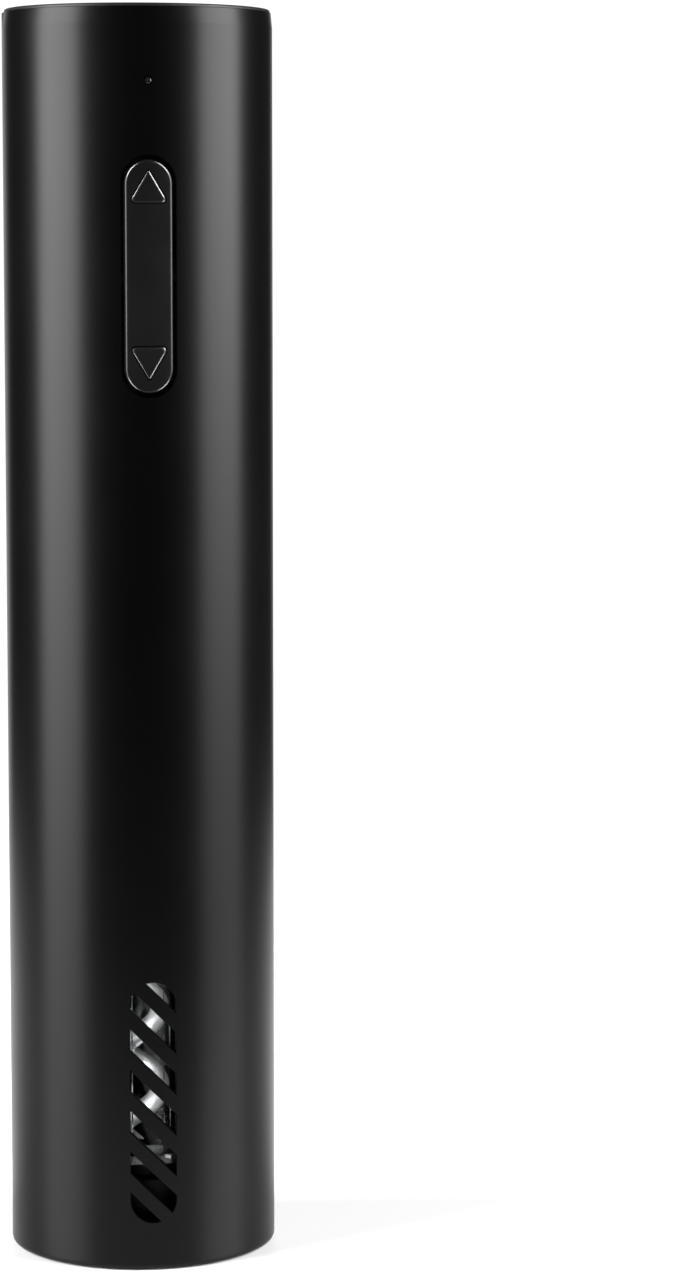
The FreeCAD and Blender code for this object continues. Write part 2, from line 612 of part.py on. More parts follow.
def make_motor_rotor():
    heights = stage_heights()
    sun_bottom = heights["planets_1"]
    node("motor_shaft", rod("rotor_shaft", "shaft_radius", ("0", "0", str(sun_bottom)),
                            f"motor_top + end_cap_thickness + 1 - {sun_bottom}"))
    teeth = outer_gear("pinion_teeth", int(size("sun_teeth")), sun_bottom, size("first_planet_width") + 0.4)
    node("motor_pinion", cut("pinion_bored", teeth, rod("pinion_bore", "shaft_radius",
                                                        ("0", "0", str(sun_bottom - 1)), "10")))
    # three-pole armature: a hub, three necks and three shoes, with a coil round each neck
    height = "core_top - core_bottom"
    shoes = ring("shoe_ring", "core_radius - shoe_thickness", "core_radius", "core_bottom", "core_top")
    hub = rod("core_hub", "core_hub_radius", ("0", "0", "core_bottom"), height)
    necks = []
    coils = []
    gaps = []
    for k, angle in enumerate((0, 120, 240)):
        necks.append(spoke(f"core_neck_{k}", angle, "0", "core_radius - shoe_thickness / 2", "neck_width",
                           "core_bottom", height))
        winding = spoke(f"coil_block_{k}", angle, "coil_start", "coil_depth", "coil_width",
                        "core_bottom - coil_overhang", f"{height} + 2 * coil_overhang")
        opening = spoke(f"coil_opening_{k}", angle, "coil_start - 1", "coil_depth + 2", "neck_width",
                        "core_bottom", height)
        coils.append(cut(f"coil_{k}", winding, opening))
        gaps.append(spoke(f"shoe_gap_{k}", angle + 60, "coil_start + 0.5", "core_radius", "shoe_gap",
                          "core_bottom - 1", f"{height} + 2"))
    split_shoes = cut("shoes_split", shoes, group("shoe_gaps", gaps))
    core = fuse("core_solid", [split_shoes, hub] + necks)
    bore = rod("core_bore", "shaft_radius", ("0", "0", "core_bottom - 1"), f"{height} + 2")
    node("armature_core", cut("core_bored", core, bore))
    node("armature_coils", group("coil_set", coils))
    node("commutator", ring("commutator_ring", "shaft_radius", "commutator_radius", "commutator_bottom",
                            "commutator_top"))


# ---------------------------------------------------------------- button, light and boards

def make_button():
    shell = ring("button_shell", "button_inner_radius", "tube_radius", "button_centre - button_length",
                 "button_centre + button_length")
    key = obround("button_key", "button_width", "button_length", "button_centre", "-(tube_radius + 1)", "10")
    face = common("button_face", [shell, key])
    front = "-(button_inner_radius + 0.8)"
    boss = box("button_boss", ("-button_width / 2", front, "button_centre - 3"),
               ("button_width", "button_inner_radius + 0.8 - pivot_depth + 2", "6"))
    posts = [rod(f"button_post_{k}", "post_radius", ("0", front, f"button_centre + {side} * post_offset"),
                 "button_inner_radius + 0.8 - post_end_depth", "y") for k, side in enumerate((-1, 1))]
    hole = rod("button_pin_hole", "pivot_radius + running_gap", ("-10", "-pivot_depth", "button_centre"), "20", "x")
    node("rocker_button", cut("button_bored", fuse("button_solid", [face, boss] + posts), hole))
    node("rocker_pin", rod("pivot_pin", "pivot_radius", ("-7.4", "-pivot_depth", "button_centre"), "14.8", "x"))

    plate = box("bracket_plate", ("-9", "-board_front_depth - 1.2", "button_centre - 6"), ("18", "1.2", "12"))
    ears = [box(f"bracket_ear_{k}", (low, "-20.1", "button_centre - 3"),
                ("1.8", "20.1 - board_front_depth - 1", "6")) for k, low in enumerate(("-7.4", "5.6"))]
    pin_hole = rod("bracket_pin_hole", "pivot_radius", ("-10", "-pivot_depth", "button_centre"), "20", "x")
    node("button_bracket", cut("bracket_bored", fuse("bracket_solid", [plate] + ears), pin_hole))


def make_control_board():
    node("control_board", box("control_board_blank", ("-board_width / 2", "-board_front_depth", "board_bottom"),
                              ("board_width", "board_thickness", "board_top - board_bottom")))
    bodies = []
    for side, label in ((-1, "down_plunger"), (1, "up_plunger")):
        height = f"button_centre + {side} * post_offset"
        bodies.append(box(f"switch_body_{side + 1}",
                          ("-switch_side / 2", "-switch_face_depth", f"{height} - switch_side / 2"),
                          ("switch_side", "switch_face_depth - board_front_depth", "switch_side")))
        node(label, rod(label + "_button", "plunger_radius", ("0", "-plunger_end_depth", height),
                        "plunger_end_depth - switch_face_depth", "y"))
    node("switch_bodies", group("switch_pair", bodies))
    node("status_led", box("led_body", ("-0.8", "-board_front_depth - 1", "light_height - 0.6"),
                           ("1.6", "1", "1.2")))
    node("light_pipe", rod("light_rod", "light_pipe_radius", ("0", "-(tube_radius - 0.15)", "light_height"),
                           "tube_radius - 0.15 - board_front_depth - 1.05", "y"))
    # controller chip, motor driver, coil and capacitors on the back of the board
    back = "-(board_front_depth - board_thickness)"
    places = (("-5.5", 4.9, 5.0, 1.6, 178), ("1.5", 6.2, 5.0, 1.6, 176), ("-6", 4.0, 3.2, 2.0, 160),
              ("2", 3.2, 1.6, 1.2, 164), ("2", 3.2, 1.6, 1.2, 160), ("6", 2.0, 1.2, 0.9, 170))
    chips = [box(f"board_part_{k}", (x, back, str(height)), (str(wide), str(deep), str(tall)))
             for k, (x, wide, tall, deep, height) in enumerate(places)]
    node("board_parts", group("board_part_set", chips))


def make_charge_board():
    board_top = "charge_board_bottom + board_thickness"
    node("charge_board", box("charge_board_blank", ("-charge_board_width / 2", "4.5", "charge_board_bottom"),
                             ("charge_board_width", "13", "board_thickness")))
    back = "socket_mouth - socket_depth"
    outside = obround("socket_outside", "socket_thickness", "socket_width", "socket_height", back,
                      "socket_depth", flat=True)
    inside = obround("socket_inside", "socket_thickness - 2 * socket_wall", "socket_width - 2 * socket_wall",
                     "socket_height", back + " + 0.8", "socket_depth", flat=True)
    shell = cut("socket_hollow", outside, inside)
    saddle = box("socket_saddle", ("-3", back, board_top), ("6", "17.5 - (socket_mouth - socket_depth)", "0.2"))
    node("socket_shell", fuse("socket_seated", [shell, saddle]))
    node("socket_tongue", box("tongue_blank", ("-3.35", back + " + 0.8", "socket_height - 0.35"),
                              ("6.7", "5.4", "0.7")))


def make_battery():
    node("battery_cell", rod("cell_can", "cell_radius", ("0", "cell_offset", "cell_bottom"),
                             "cell_top - cell_bottom"))
    lower = box("tab_lower", ("-2", "cell_offset - 2", "cell_bottom - 0.2"), ("11.2", "4", "0.2"))
    upper = box("tab_upper", ("-2", "cell_offset - 2", "cell_top"), ("4", "4", "0.2"))
    node("battery_tabs", group("tab_pair", [lower, upper]))


def wire_solid(name, points, bend):
    """Insulated wire: straight runs joined by tangent arcs of one radius."""
    edges = []
    start = points[0]
    for before, corner, after in zip(points, points[1:], points[2:]):
        inward = (corner - before).normalize()
        outward = (after - corner).normalize()
        setback = bend * math.tan(inward.getAngle(outward) / 2)
        arc_start = corner - inward * setback
        arc_end = corner + outward * setback
        towards = (outward - inward).normalize()
        centre = corner + towards * math.hypot(bend, setback)
        edges.append(Part.LineSegment(start, arc_start).toShape())
        edges.append(Part.Arc(arc_start, centre - towards * bend, arc_end).toShape())
        start = arc_end
    edges.append(Part.LineSegment(start, points[-1]).toShape())
    path = Part.Wire(edges)
    section = Part.Wire([Part.makeCircle(size("lead_radius"), points[0], points[1] - points[0])])
    wire = doc.addObject("Part::Feature", name)
    wire.Shape = path.makePipeShell([section], True, False)
    return wire


def make_leads():
    """Motor leads to the control board, and the cell's and the charge board's leads."""
    board_back = size("board_thickness") - size("board_front_depth")
    terminal_top = size("commutator_bottom") + size("leaf_length")
    crest = terminal_top + size("motor_lead_rise")
    pair = []
    for k, side in enumerate((-1, 1)):
        x = side * (size("leaf_offset") + size("leaf_thickness") / 2)
        pair.append(wire_solid(f"motor_lead_{k}", [Vector(x, 0, terminal_top), Vector(x, 0, crest),
                                                   Vector(x, board_back, crest)], size("lead_bend")))
    node("motor_leads", group("motor_lead_pair", pair))
    under = size("charge_board_bottom")
    cell_y = size("cell_offset")
    tab_x = size("cell_lead_x")
    runs = [[Vector(tab_x, cell_y, size("cell_bottom")), Vector(tab_x, cell_y, under)],
            [Vector(0, cell_y, size("cell_top") + 0.2), Vector(0, cell_y, under)]]
    for side in (-1, 1):
        x = side * size("board_link_x")
        y = size("board_link_y")
        low = under - size("board_link_drop")
        runs.append([Vector(x, y, under), Vector(x, y, low), Vector(x, board_back, low)])
    links = [wire_solid(f"power_lead_{k}", run, size("lead_bend")) for k, run in enumerate(runs)]
    node("power_leads", group("power_lead_set", links))


# ---------------------------------------------------------------- chassis

def half_shell(name, reverse):
    """Half of the inner frame, with ribs that grip the gearbox and the motor."""
    low = "cover_flange_top"
    ribs = (("box_radius + press_gap", "84", "86"), ("box_radius + press_gap", "104", "106"),
            ("motor_radius + press_gap", "113", "115"), ("motor_radius + press_gap", "132", "134"),
            ("9.5", "143.6", "145.4"))
    outline = [("chassis_inner", low)]
    for inner, bottom, top in ribs:
        outline += [("chassis_inner", bottom), (inner, bottom), (inner, top), ("chassis_inner", top)]
    outline += [("chassis_inner", "chassis_top"), ("chassis_outer", "chassis_top"), ("chassis_outer", low)]
    return turned(name, outline, angle=180, reverse=reverse)


def make_chassis():
    """Two halves that meet at y = 0 and close on four screws."""
    rear = half_shell("chassis_half_rear", reverse=False)
    front = half_shell("chassis_half_front", reverse=True)
    seam = box("chassis_seam", ("-tube_radius", "-split_gap", "cover_bottom"),
               ("2 * tube_radius", "2 * split_gap", "chassis_top"))
    block = ("chassis_boss_width", "chassis_boss_depth", "chassis_boss_height")
    rear_bosses = []
    front_bosses = []
    holes = []
    places = []
    for height in ("chassis_screw_low", "chassis_screw_high"):
        for x, low_x in (("-chassis_screw_x", "-chassis_screw_x - chassis_boss_width + 2.4"),
                         ("chassis_screw_x", "chassis_screw_x - 2.4")):
            k = len(places)
            low_z = f"{height} - chassis_boss_height / 2"
            rear_bosses.append(box(f"rear_boss_{k}", (low_x, "split_gap", low_z), block))
            front_bosses.append(box(f"front_boss_{k}", (low_x, "-chassis_boss_depth - split_gap", low_z), block))
            holes.append(rod(f"boss_hole_{k}", "screw_radius", (x, "-chassis_boss_depth - 2", height),
                             "2 * chassis_boss_depth + 1.2", "y"))
            places.append((x, "-chassis_boss_depth - split_gap", height))
    cell_bay = rod("cell_bay", "cell_radius + 0.3", ("0", "cell_offset", "cell_bottom - 0.4"), "60")
    socket_bay = box("socket_bay", ("-6.2", "14", "socket_height - 3.4"), ("12.4", "10", "6.6"))
    rear_cut = group("rear_cuts", [seam, cell_bay, socket_bay] + holes)
    node("chassis_rear", cut("rear_finished", fuse("rear_solid", [rear] + rear_bosses), rear_cut))
    front_window = box("front_window", ("-10", "-25", "board_bottom - 1.5"), ("20", "12", "60.5"))
    front_cut = group("front_cuts", [seam, front_window] + holes)
    node("chassis_front", cut("front_finished", fuse("front_solid", [front] + front_bosses), front_cut))
    node("chassis_screws", screws("chassis_screw", places, "2 * chassis_boss_depth - 0.8", along="y"))


# ---------------------------------------------------------------- build, check and write

for make in (make_outer_tube, make_top_cap, make_neck_guide, make_cork_sleeve, make_worm, make_worm_holder,
             make_ring_gear, make_gearbox_ends, make_carriers, make_planets, make_motor_stator,
             make_motor_rotor, make_button, make_control_board, make_charge_board, make_battery,
             make_leads, make_chassis):
    make()
doc.recompute()

for thing in doc.Objects:
    bad = [state for state in thing.State if state in ("Invalid", "Error")]
    if bad:
        raise RuntimeError(f"{thing.Name} did not compute: {bad}")
for label, thing in nodes.items():
    if thing.Shape.isNull() or not thing.Shape.isValid():
        raise RuntimeError(f"{label} has no sound shape")

os.makedirs("parts", exist_ok=True)
for label, thing in nodes.items():
    thing.Shape.exportStep(os.path.join("parts", label + ".step"))
print(len(nodes), "nodes written")
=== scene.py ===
import json
import math

import bmesh
import bpy
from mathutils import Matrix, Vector
from mathutils.geometry import delaunay_2d_cdt


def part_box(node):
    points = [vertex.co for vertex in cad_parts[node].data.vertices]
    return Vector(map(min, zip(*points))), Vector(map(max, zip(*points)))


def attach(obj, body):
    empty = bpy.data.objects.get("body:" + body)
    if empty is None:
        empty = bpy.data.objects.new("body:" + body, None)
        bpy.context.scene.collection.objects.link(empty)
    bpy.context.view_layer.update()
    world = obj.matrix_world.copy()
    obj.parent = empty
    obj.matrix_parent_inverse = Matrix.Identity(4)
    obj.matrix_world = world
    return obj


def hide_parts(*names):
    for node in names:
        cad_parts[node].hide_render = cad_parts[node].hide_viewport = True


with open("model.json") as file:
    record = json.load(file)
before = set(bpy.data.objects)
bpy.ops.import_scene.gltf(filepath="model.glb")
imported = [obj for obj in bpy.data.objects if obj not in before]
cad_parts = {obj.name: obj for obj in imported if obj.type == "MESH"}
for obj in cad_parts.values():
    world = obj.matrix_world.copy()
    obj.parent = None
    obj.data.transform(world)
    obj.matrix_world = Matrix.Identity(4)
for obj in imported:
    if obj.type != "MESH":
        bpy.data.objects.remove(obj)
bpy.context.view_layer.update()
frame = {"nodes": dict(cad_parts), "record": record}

# Lengths of the object are in millimetres, and finish_mesh scales them to metres.
# Lengths of the stage, lights, camera and materials are in metres.
MM = 0.001
nodes = frame["nodes"]


def span(node):
    """Lowest and highest corner of a CAD node, in millimetres."""
    low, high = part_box(node)
    return low / MM, high / MM


# ------------------------------------------------------------------ sizes read from the frame

TUBE_HIGH = span("outer_tube")[1]
CAP_LOW, CAP_HIGH = span("top_cap")
GUIDE_LOW, GUIDE_HIGH = span("neck_guide")
SLEEVE_LOW, SLEEVE_HIGH = span("cork_sleeve")
BUTTON_LOW, BUTTON_HIGH = span("rocker_button")
PIPE_LOW, PIPE_HIGH = span("light_pipe")
SHELL_LOW, SHELL_HIGH = span("socket_shell")
WORM_LOW = span("worm")[0]
HOLDER_LOW, HOLDER_HIGH = span("worm_holder")
GUIDE_SCREWS_LOW, GUIDE_SCREWS_HIGH = span("guide_screws")

TUBE_TOP = TUBE_HIGH.z
TUBE_RADIUS = TUBE_HIGH.x
BUTTON_CENTRE = (BUTTON_LOW.z + BUTTON_HIGH.z) / 2
BUTTON_WIDTH = BUTTON_HIGH.x - BUTTON_LOW.x
BUTTON_LENGTH = BUTTON_HIGH.z - BUTTON_LOW.z
LIGHT_HEIGHT = (PIPE_LOW.z + PIPE_HIGH.z) / 2
SOCKET_HEIGHT = (SHELL_LOW.z + SHELL_HIGH.z) / 2

# ------------------------------------------------------------------ sizes that the boxes don't tell

TUBE_WALL = 1.6
BORE_RADIUS = TUBE_RADIUS - TUBE_WALL
PRESS_GAP = 0.05
FOOT_FILLET = 1.2
TOP_ROUND = 0.25
EDGE_BREAK = 0.16
TUBE_COLUMNS = 144
TUBE_WALL_ROWS = 90
BUTTON_HOLE = (9.3, 41.0)
WINDOW_CENTRE = 29.7
WINDOW = (7.9, 42.2)
SLOT_COUNT = 7
SLOT_PITCH = 7.2
SLOT_WIDTH = 2.6
LIGHT_HOLE_RADIUS = 0.8
SOCKET_HOLE = (10.6, 4.8)
# rough spacing of the points of an outline, for small openings and for large ones
FINE_STEP = 0.5
COARSE_STEP = 0.8

RIM_RADIUS = 0.5
RIM_STEPS = 5
BUTTON_INNER = 20.9
# each arrow on the button: height of its apex, height of its base, half its width
ARROWS = ((189.93, 184.77, 3.07), (154.84, 160.0, 3.07))
ARROW_APEX_RADIUS = 0.1
ARROW_BASE_RADIUS = 0.5
ARROW_STEPS = 8
ARROW_SIDE_PARTS = 12
# half the width of the groove along an arrow's two sides and along its base
SIDE_SLOPE = 0.34
BASE_SLOPE = 0.50
ARROW_DEPTH = 0.30
# share of that half width at which the groove is deepest, and the shares at which it has points
ARROW_WALL = 0.75
ARROW_SHARES = (0.88, 0.75, 0.6, 0.42, 0.24, 0.06, -0.14, -0.38, -0.66)

GUIDE_SEAT_TOP = 15.0
GUIDE_SCREW_CIRCLE = 18.9
SHANK_RADIUS = 3.0
WORM_RADIUS = 3.1
WIRE_RADIUS = 1.7
WORM_PITCH = 14.2
# the wire passes the height WORM_START at the angle WORM_ANGLE from the X axis
WORM_START = 19.4
WORM_ANGLE = math.radians(150)

# ------------------------------------------------------------------ stage, lights and camera, in metres

FLOOR_SIZE = 1.5
FLOOR_SOLID = 0.18
FLOOR_GONE = 0.50
FLOOR_CENTRE = (0, 0.13, 0)
FLOOR_GREY = 0.63
WORLD_FRONT = 0.07
WORLD_BACK = 1.08
# the Y part of a direction at which the bright backdrop starts, and at which it is full
BACKDROP_EDGE = (0.895, 0.95)

COLUMN_WIDTH = 0.80
COLUMN_DISTANCE = 1.1
# soft columns: name, azimuth, radiance, and height bands with their bottom, top and share of the radiance
SOFT_COLUMNS = (
    ("left", -71.5, 22.7, ((-0.9, -0.35, 1.3), (-0.35, -0.13, 0.12), (-0.13, 0.0, 0.38), (0.0, 0.14, 0.62),
                           (0.14, 0.55, 1.0), (0.55, 1.3, 1.2))),
    ("right", 74, 20.5, ((-0.9, -0.35, 1.3), (-0.35, -0.13, 0.06), (-0.13, 0.0, 0.17), (0.0, 0.14, 0.38),
                         (0.14, 0.55, 1.0), (0.55, 1.3, 1.2))),
)
# lights that only some pieces catch: name, azimuth, distance, bottom, top, width, watts, height aimed at
WORM_LIGHTS = (
    ("worm_left", -27, 0.6, 0.0, 0.5, 0.5, 18.0, 0.04),
    ("worm_right", 27, 0.6, -0.05, 0.45, 0.5, 15.0, 0.04),
)
SLEEVE_LIGHTS = (
    ("sleeve_streak", 25, 0.6, -0.1, 0.3, 0.1, 1.3, 0.04),
)
BUTTON_LIGHTS = (
    ("rim_high_left", -66, 1.0, 0.5, 1.25, 0.4, 120, 0.17),
    ("rim_low_left", -66, 1.0, -0.95, -0.25, 0.4, 62, 0.17),
    ("rim_high_right", 66, 1.0, 0.5, 1.25, 0.4, 120, 0.17),
    ("rim_low_right", 66, 1.0, -0.95, -0.25, 0.4, 62, 0.17),
)

# angles in degrees; the azimuth is how far the camera stands to the left of the button
CAMERA_AZIMUTH = 4.4
CAMERA_DISTANCE = 0.6741
CAMERA_HEIGHT = 0.1797
CAMERA_PITCH = 6.137
CAMERA_YAW = 2.994
CAMERA_LENS = 107.1


# ------------------------------------------------------------------ mesh helpers

def finish_mesh(name, bm, body, stands_for, slot, sharp=35):
    """Turn a bmesh in millimetres into a smooth piece that rides on a body and has its slot's material."""
    bmesh.ops.remove_doubles(bm, verts=bm.verts, dist=1e-5)
    bmesh.ops.recalc_face_normals(bm, faces=bm.faces)
    for vertex in bm.verts:
        vertex.co *= MM
    mesh = bpy.data.meshes.new(name)
    bm.to_mesh(mesh)
    bm.free()
    for face in mesh.polygons:
        face.use_smooth = True
    mesh.set_sharp_from_angle(angle=math.radians(sharp))
    piece = bpy.data.objects.new(name, mesh)
    bpy.context.scene.collection.objects.link(piece)
    mesh.materials.append(MATERIALS[slot])
    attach(piece, body)
    if stands_for:
        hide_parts(*stands_for)
    return piece


def corner_arc(before, corner, after, radius, steps):
    """Points of the arc that rounds one corner of an outline."""
    to_before = (before - corner).normalized()
    to_after = (after - corner).normalized()
    half = to_before.angle(to_after) / 2
    if radius <= 0 or half < 1e-3 or abs(half - math.pi / 2) < 1e-3:
        return [corner]
    setback = radius / math.tan(half)
    centre = corner + (to_before + to_after).normalized() * (radius / math.sin(half))
    first = corner + to_before * setback - centre
    last = corner + to_after * setback - centre
    turn = first.angle_signed(last)
    points = []
    for k in range(steps + 1):
        share = turn * k / steps
        cos, sin = math.cos(-share), math.sin(-share)
        points.append(centre + Vector((first.x * cos - first.y * sin, first.x * sin + first.y * cos)))
    return points


def rounded(outline, steps=5):
    """Closed outline whose corners (x, y, radius) become arcs."""
    points = []
    count = len(outline)
    for k in range(count):
        before = Vector(outline[k - 1][:2])
        corner = Vector(outline[k][:2])
        after = Vector(outline[(k + 1) % count][:2])
        points += corner_arc(before, corner, after, outline[k][2], steps)
    return points


def lathe(bm, outline, segments=144, centre=(0.0, 0.0)):
    """Turn a closed (radius, height) outline about a vertical axis."""
    rings = []
    for k in range(segments):
        angle = 2 * math.pi * k / segments
        across, along = math.cos(angle), math.sin(angle)
        rings.append([bm.verts.new((centre[0] + p.x * across, centre[1] + p.x * along, p.y))
                      for p in outline])
    count = len(outline)
    for k in range(segments):
        ring, following = rings[k], rings[(k + 1) % segments]
        for j in range(count):
            other = (j + 1) % count
            corners = [ring[j], ring[other], following[other], following[j]]
            if outline[j].x < 1e-6 and outline[other].x < 1e-6:
                continue
            if outline[j].x < 1e-6:
                corners = [ring[j], ring[other], following[other]]
            elif outline[other].x < 1e-6:
                corners = [ring[j], ring[other], following[j]]
            bm.faces.new(corners)


def lathe_along_y(bm, profile, centre_z, segments):
    """Turn a (radius, y) profile that starts and ends on its axis, which runs along Y."""
    rings = []
    for k in range(segments):
        angle = 2 * math.pi * k / segments
        across, up = math.cos(angle), math.sin(angle)
        rings.append([bm.verts.new((r * across, y, centre_z + r * up)) for r, y in profile])
    for k in range(segments):
        a, b = rings[k], rings[(k + 1) % segments]
        for j in range(len(profile) - 1):
            if profile[j][0] == 0:
                bm.faces.new((a[j], a[j + 1], b[j + 1]))
            elif profile[j + 1][0] == 0:
                bm.faces.new((a[j], a[j + 1], b[j]))
            else:
                bm.faces.new((a[j], a[j + 1], b[j + 1], b[j]))


def join_loops(bm, loop_a, loop_b):
    """Band of quads between two closed rings of vertices."""
    count = len(loop_a)
    for k in range(count):
        following = (k + 1) % count
        bm.faces.new((loop_a[k], loop_a[following], loop_b[following], loop_b[k]))


def inside(point, loop):
    """True if the point is inside the closed polygon."""
    within = False
    x, y = point
    for k, corner in enumerate(loop):
        before = loop[k - 1]
        if (corner[1] > y) != (before[1] > y):
            meets = (before[0] - corner[0]) * (y - corner[1]) / (before[1] - corner[1]) + corner[0]
            if x < meets:
                within = not within
    return within


def offset(loop, distance):
    """Closed counter-clockwise outline moved outwards by distance, with mitred corners."""
    moved = []
    count = len(loop)
    for k in range(count):
        before, corner, after = loop[k - 1], loop[k], loop[(k + 1) % count]
        first = (corner - before).normalized()
        second = (after - corner).normalized()
        normal = Vector((first.y + second.y, -first.x - second.x)).normalized()
        lean = max(normal.dot(Vector((first.y, -first.x))), 0.4)
        moved.append(corner + normal * (distance / lean))
    return moved


def resampled(loop, step):
    """The outline with long straight stretches divided."""
    points = []
    for k, corner in enumerate(loop):
        after = loop[(k + 1) % len(loop)]
        parts = max(1, round((after - corner).length / step))
        points += [corner.lerp(after, j / parts) for j in range(parts)]
    return points


def obround(width, length, centre_z, steps=14):
    """Counter-clockwise upright outline with round ends, about x = 0."""
    radius = width / 2
    run = length / 2 - radius
    points = []
    for side, start in ((1, 0.0), (-1, math.pi)):
        middle = centre_z + side * run
        for k in range(steps + 1):
            angle = start + math.pi * k / steps
            points.append(Vector((radius * math.cos(angle), middle + radius * math.sin(angle))))
    return points


def circle(radius, centre_x, centre_y, steps=32):
    """Counter-clockwise outline of a circle."""
    angles = [2 * math.pi * k / steps for k in range(steps)]
    return [Vector((centre_x + radius * math.cos(a), centre_y + radius * math.sin(a))) for a in angles]


def counter_clockwise(loop):
    """The outline in counter-clockwise order."""
    area = sum(loop[k - 1][0] * p[1] - p[0] * loop[k - 1][1] for k, p in enumerate(loop))
    return loop if area > 0 else list(reversed(loop))


def clip(loop, point, normal):
    """Part of a polygon on the side of a line that its normal points away from."""
    kept = []
    for k, corner in enumerate(loop):
        before = loop[k - 1]
        here = (corner - point).dot(normal)
        there = (before - point).dot(normal)
        if (here <= 0) != (there <= 0):
            kept.append(before.lerp(corner, there / (there - here)))
        if here <= 0:
            kept.append(corner)
    return kept


def without_doubles(loop):
    """The outline without corners that all but repeat the one before."""
    return [corner for k, corner in enumerate(loop) if (corner - loop[k - 1]).length > 0.02]


def fill(boundary, holes, extra):
    """Triangles between a boundary and its holes; returns (points, triangles, index of each loop)."""
    points = []
    edges = []
    starts = []
    for loop in [boundary] + holes:
        start = len(points)
        starts.append(start)
        points += [Vector((p[0], p[1])) for p in loop]
        edges += [(start + k, start + (k + 1) % len(loop)) for k in range(len(loop))]
    points += extra
    made, _, faces, origin, _, _ = delaunay_2d_cdt(points, edges, [], 0, 1e-7)
    index_of = {}
    for new, olds in enumerate(origin):
        for old in olds:
            index_of[old] = new
    triangles = []
    for face in faces:
        middle = sum((made[k] for k in face), Vector((0, 0))) / len(face)
        if inside(middle, boundary) and not any(inside(middle, hole) for hole in holes):
            triangles.append(tuple(face))
    loops = [[index_of[start + k] for k in range(len(loop))]
             for start, loop in zip(starts, [boundary] + holes)]
    return made, triangles, loops


def grid_points(columns, rows, boundary, holes, clearance):
    """Grid points inside the boundary that keep clear of every loop."""
    kept = []
    near = [p for loop in [boundary] + holes for p in loop]
    for x in columns:
        close = [p for p in near if abs(p[0] - x) < clearance]
        for z in rows:
            if any(abs(p[1] - z) < clearance for p in close):
                continue
            point = (x, z)
            if inside(point, boundary) and not any(inside(point, hole) for hole in holes):
                kept.append(Vector(point))
    return kept


# ------------------------------------------------------------------ materials

def new_material(name):
    """An empty material, its node tree and its shader."""
    material = bpy.data.materials.new(name)
    material.use_nodes = True
    tree = material.node_tree
    return material, tree, tree.nodes["Principled BSDF"]


def noise(tree, scale, stretch):
    """Noise in object space; scale counts features to a metre."""
    place = tree.nodes.new("ShaderNodeTexCoord")
    mapping = tree.nodes.new("ShaderNodeMapping")
    mapping.inputs["Scale"].default_value = stretch
    texture = tree.nodes.new("ShaderNodeTexNoise")
    texture.inputs["Scale"].default_value = scale
    texture.inputs["Detail"].default_value = 2.0
    tree.links.new(place.outputs["Object"], mapping.inputs["Vector"])
    tree.links.new(mapping.outputs["Vector"], texture.inputs["Vector"])
    return texture.outputs["Fac"]


def between(tree, factor, low, high):
    """Map a noise's middle values, 0.3 to 0.7, onto a range of numbers."""
    node = tree.nodes.new("ShaderNodeMapRange")
    node.inputs["From Min"].default_value = 0.3
    node.inputs["From Max"].default_value = 0.7
    node.inputs["To Min"].default_value = low
    node.inputs["To Max"].default_value = high
    tree.links.new(factor, node.inputs["Value"])
    return node.outputs["Result"]


def tint(tree, factor, low, high):
    """Blend two colours over a noise's middle values."""
    ramp = tree.nodes.new("ShaderNodeValToRGB")
    ramp.color_ramp.elements[0].position = 0.35
    ramp.color_ramp.elements[1].position = 0.65
    ramp.color_ramp.elements[0].color = (*low, 1)
    ramp.color_ramp.elements[1].color = (*high, 1)
    tree.links.new(factor, ramp.inputs["Fac"])
    return ramp.outputs["Color"]


def bump(tree, shader, height, distance):
    """Lift the surface by a 0 to 1 height times a distance."""
    node = tree.nodes.new("ShaderNodeBump")
    node.inputs["Strength"].default_value = 1.0
    node.inputs["Distance"].default_value = distance
    tree.links.new(height, node.inputs["Height"])
    tree.links.new(node.outputs["Normal"], shader.inputs["Normal"])


def surface(name, low, high, rough, metallic=0.0, grain=3500, grain_depth=4e-6, patch=60, stretch=(1, 1, 1),
            specular=0.5, coat=0.0):
    """A moulded, painted or metal surface: patchy colour and gloss over a fine grain."""
    material, tree, shader = new_material(name)
    shader.inputs["Metallic"].default_value = metallic
    shader.inputs["Specular IOR Level"].default_value = specular
    shader.inputs["Coat Weight"].default_value = coat
    shader.inputs["Coat Roughness"].default_value = 0.1
    patches = noise(tree, patch, stretch)
    tree.links.new(tint(tree, patches, low, high), shader.inputs["Base Color"])
    fine = noise(tree, grain, stretch)
    tree.links.new(between(tree, patches, rough[0], rough[1]), shader.inputs["Roughness"])
    bump(tree, shader, fine, grain_depth)
    return material


def clear_plastic(name):
    """Clear plastic wall: it reflects by its Fresnel share and lets the rest straight through."""
    material, tree, shader = new_material(name)
    shader.inputs["Base Color"].default_value = (0.95, 0.96, 0.97, 1)
    shader.inputs["Metallic"].default_value = 1.0
    streaks = noise(tree, 900, (1, 1, 0.04))
    tree.links.new(between(tree, streaks, 0.05, 0.12), shader.inputs["Roughness"])
    fresnel = tree.nodes.new("ShaderNodeFresnel")
    fresnel.inputs["IOR"].default_value = 1.49
    through = tree.nodes.new("ShaderNodeBsdfTransparent")
    through.inputs["Color"].default_value = (0.95, 0.96, 0.96, 1)
    mix = tree.nodes.new("ShaderNodeMixShader")
    tree.links.new(fresnel.outputs["Fac"], mix.inputs["Fac"])
    tree.links.new(through.outputs["BSDF"], mix.inputs[1])
    tree.links.new(shader.outputs["BSDF"], mix.inputs[2])
    tree.links.new(mix.outputs["Shader"], tree.nodes["Material Output"].inputs["Surface"])
    return material


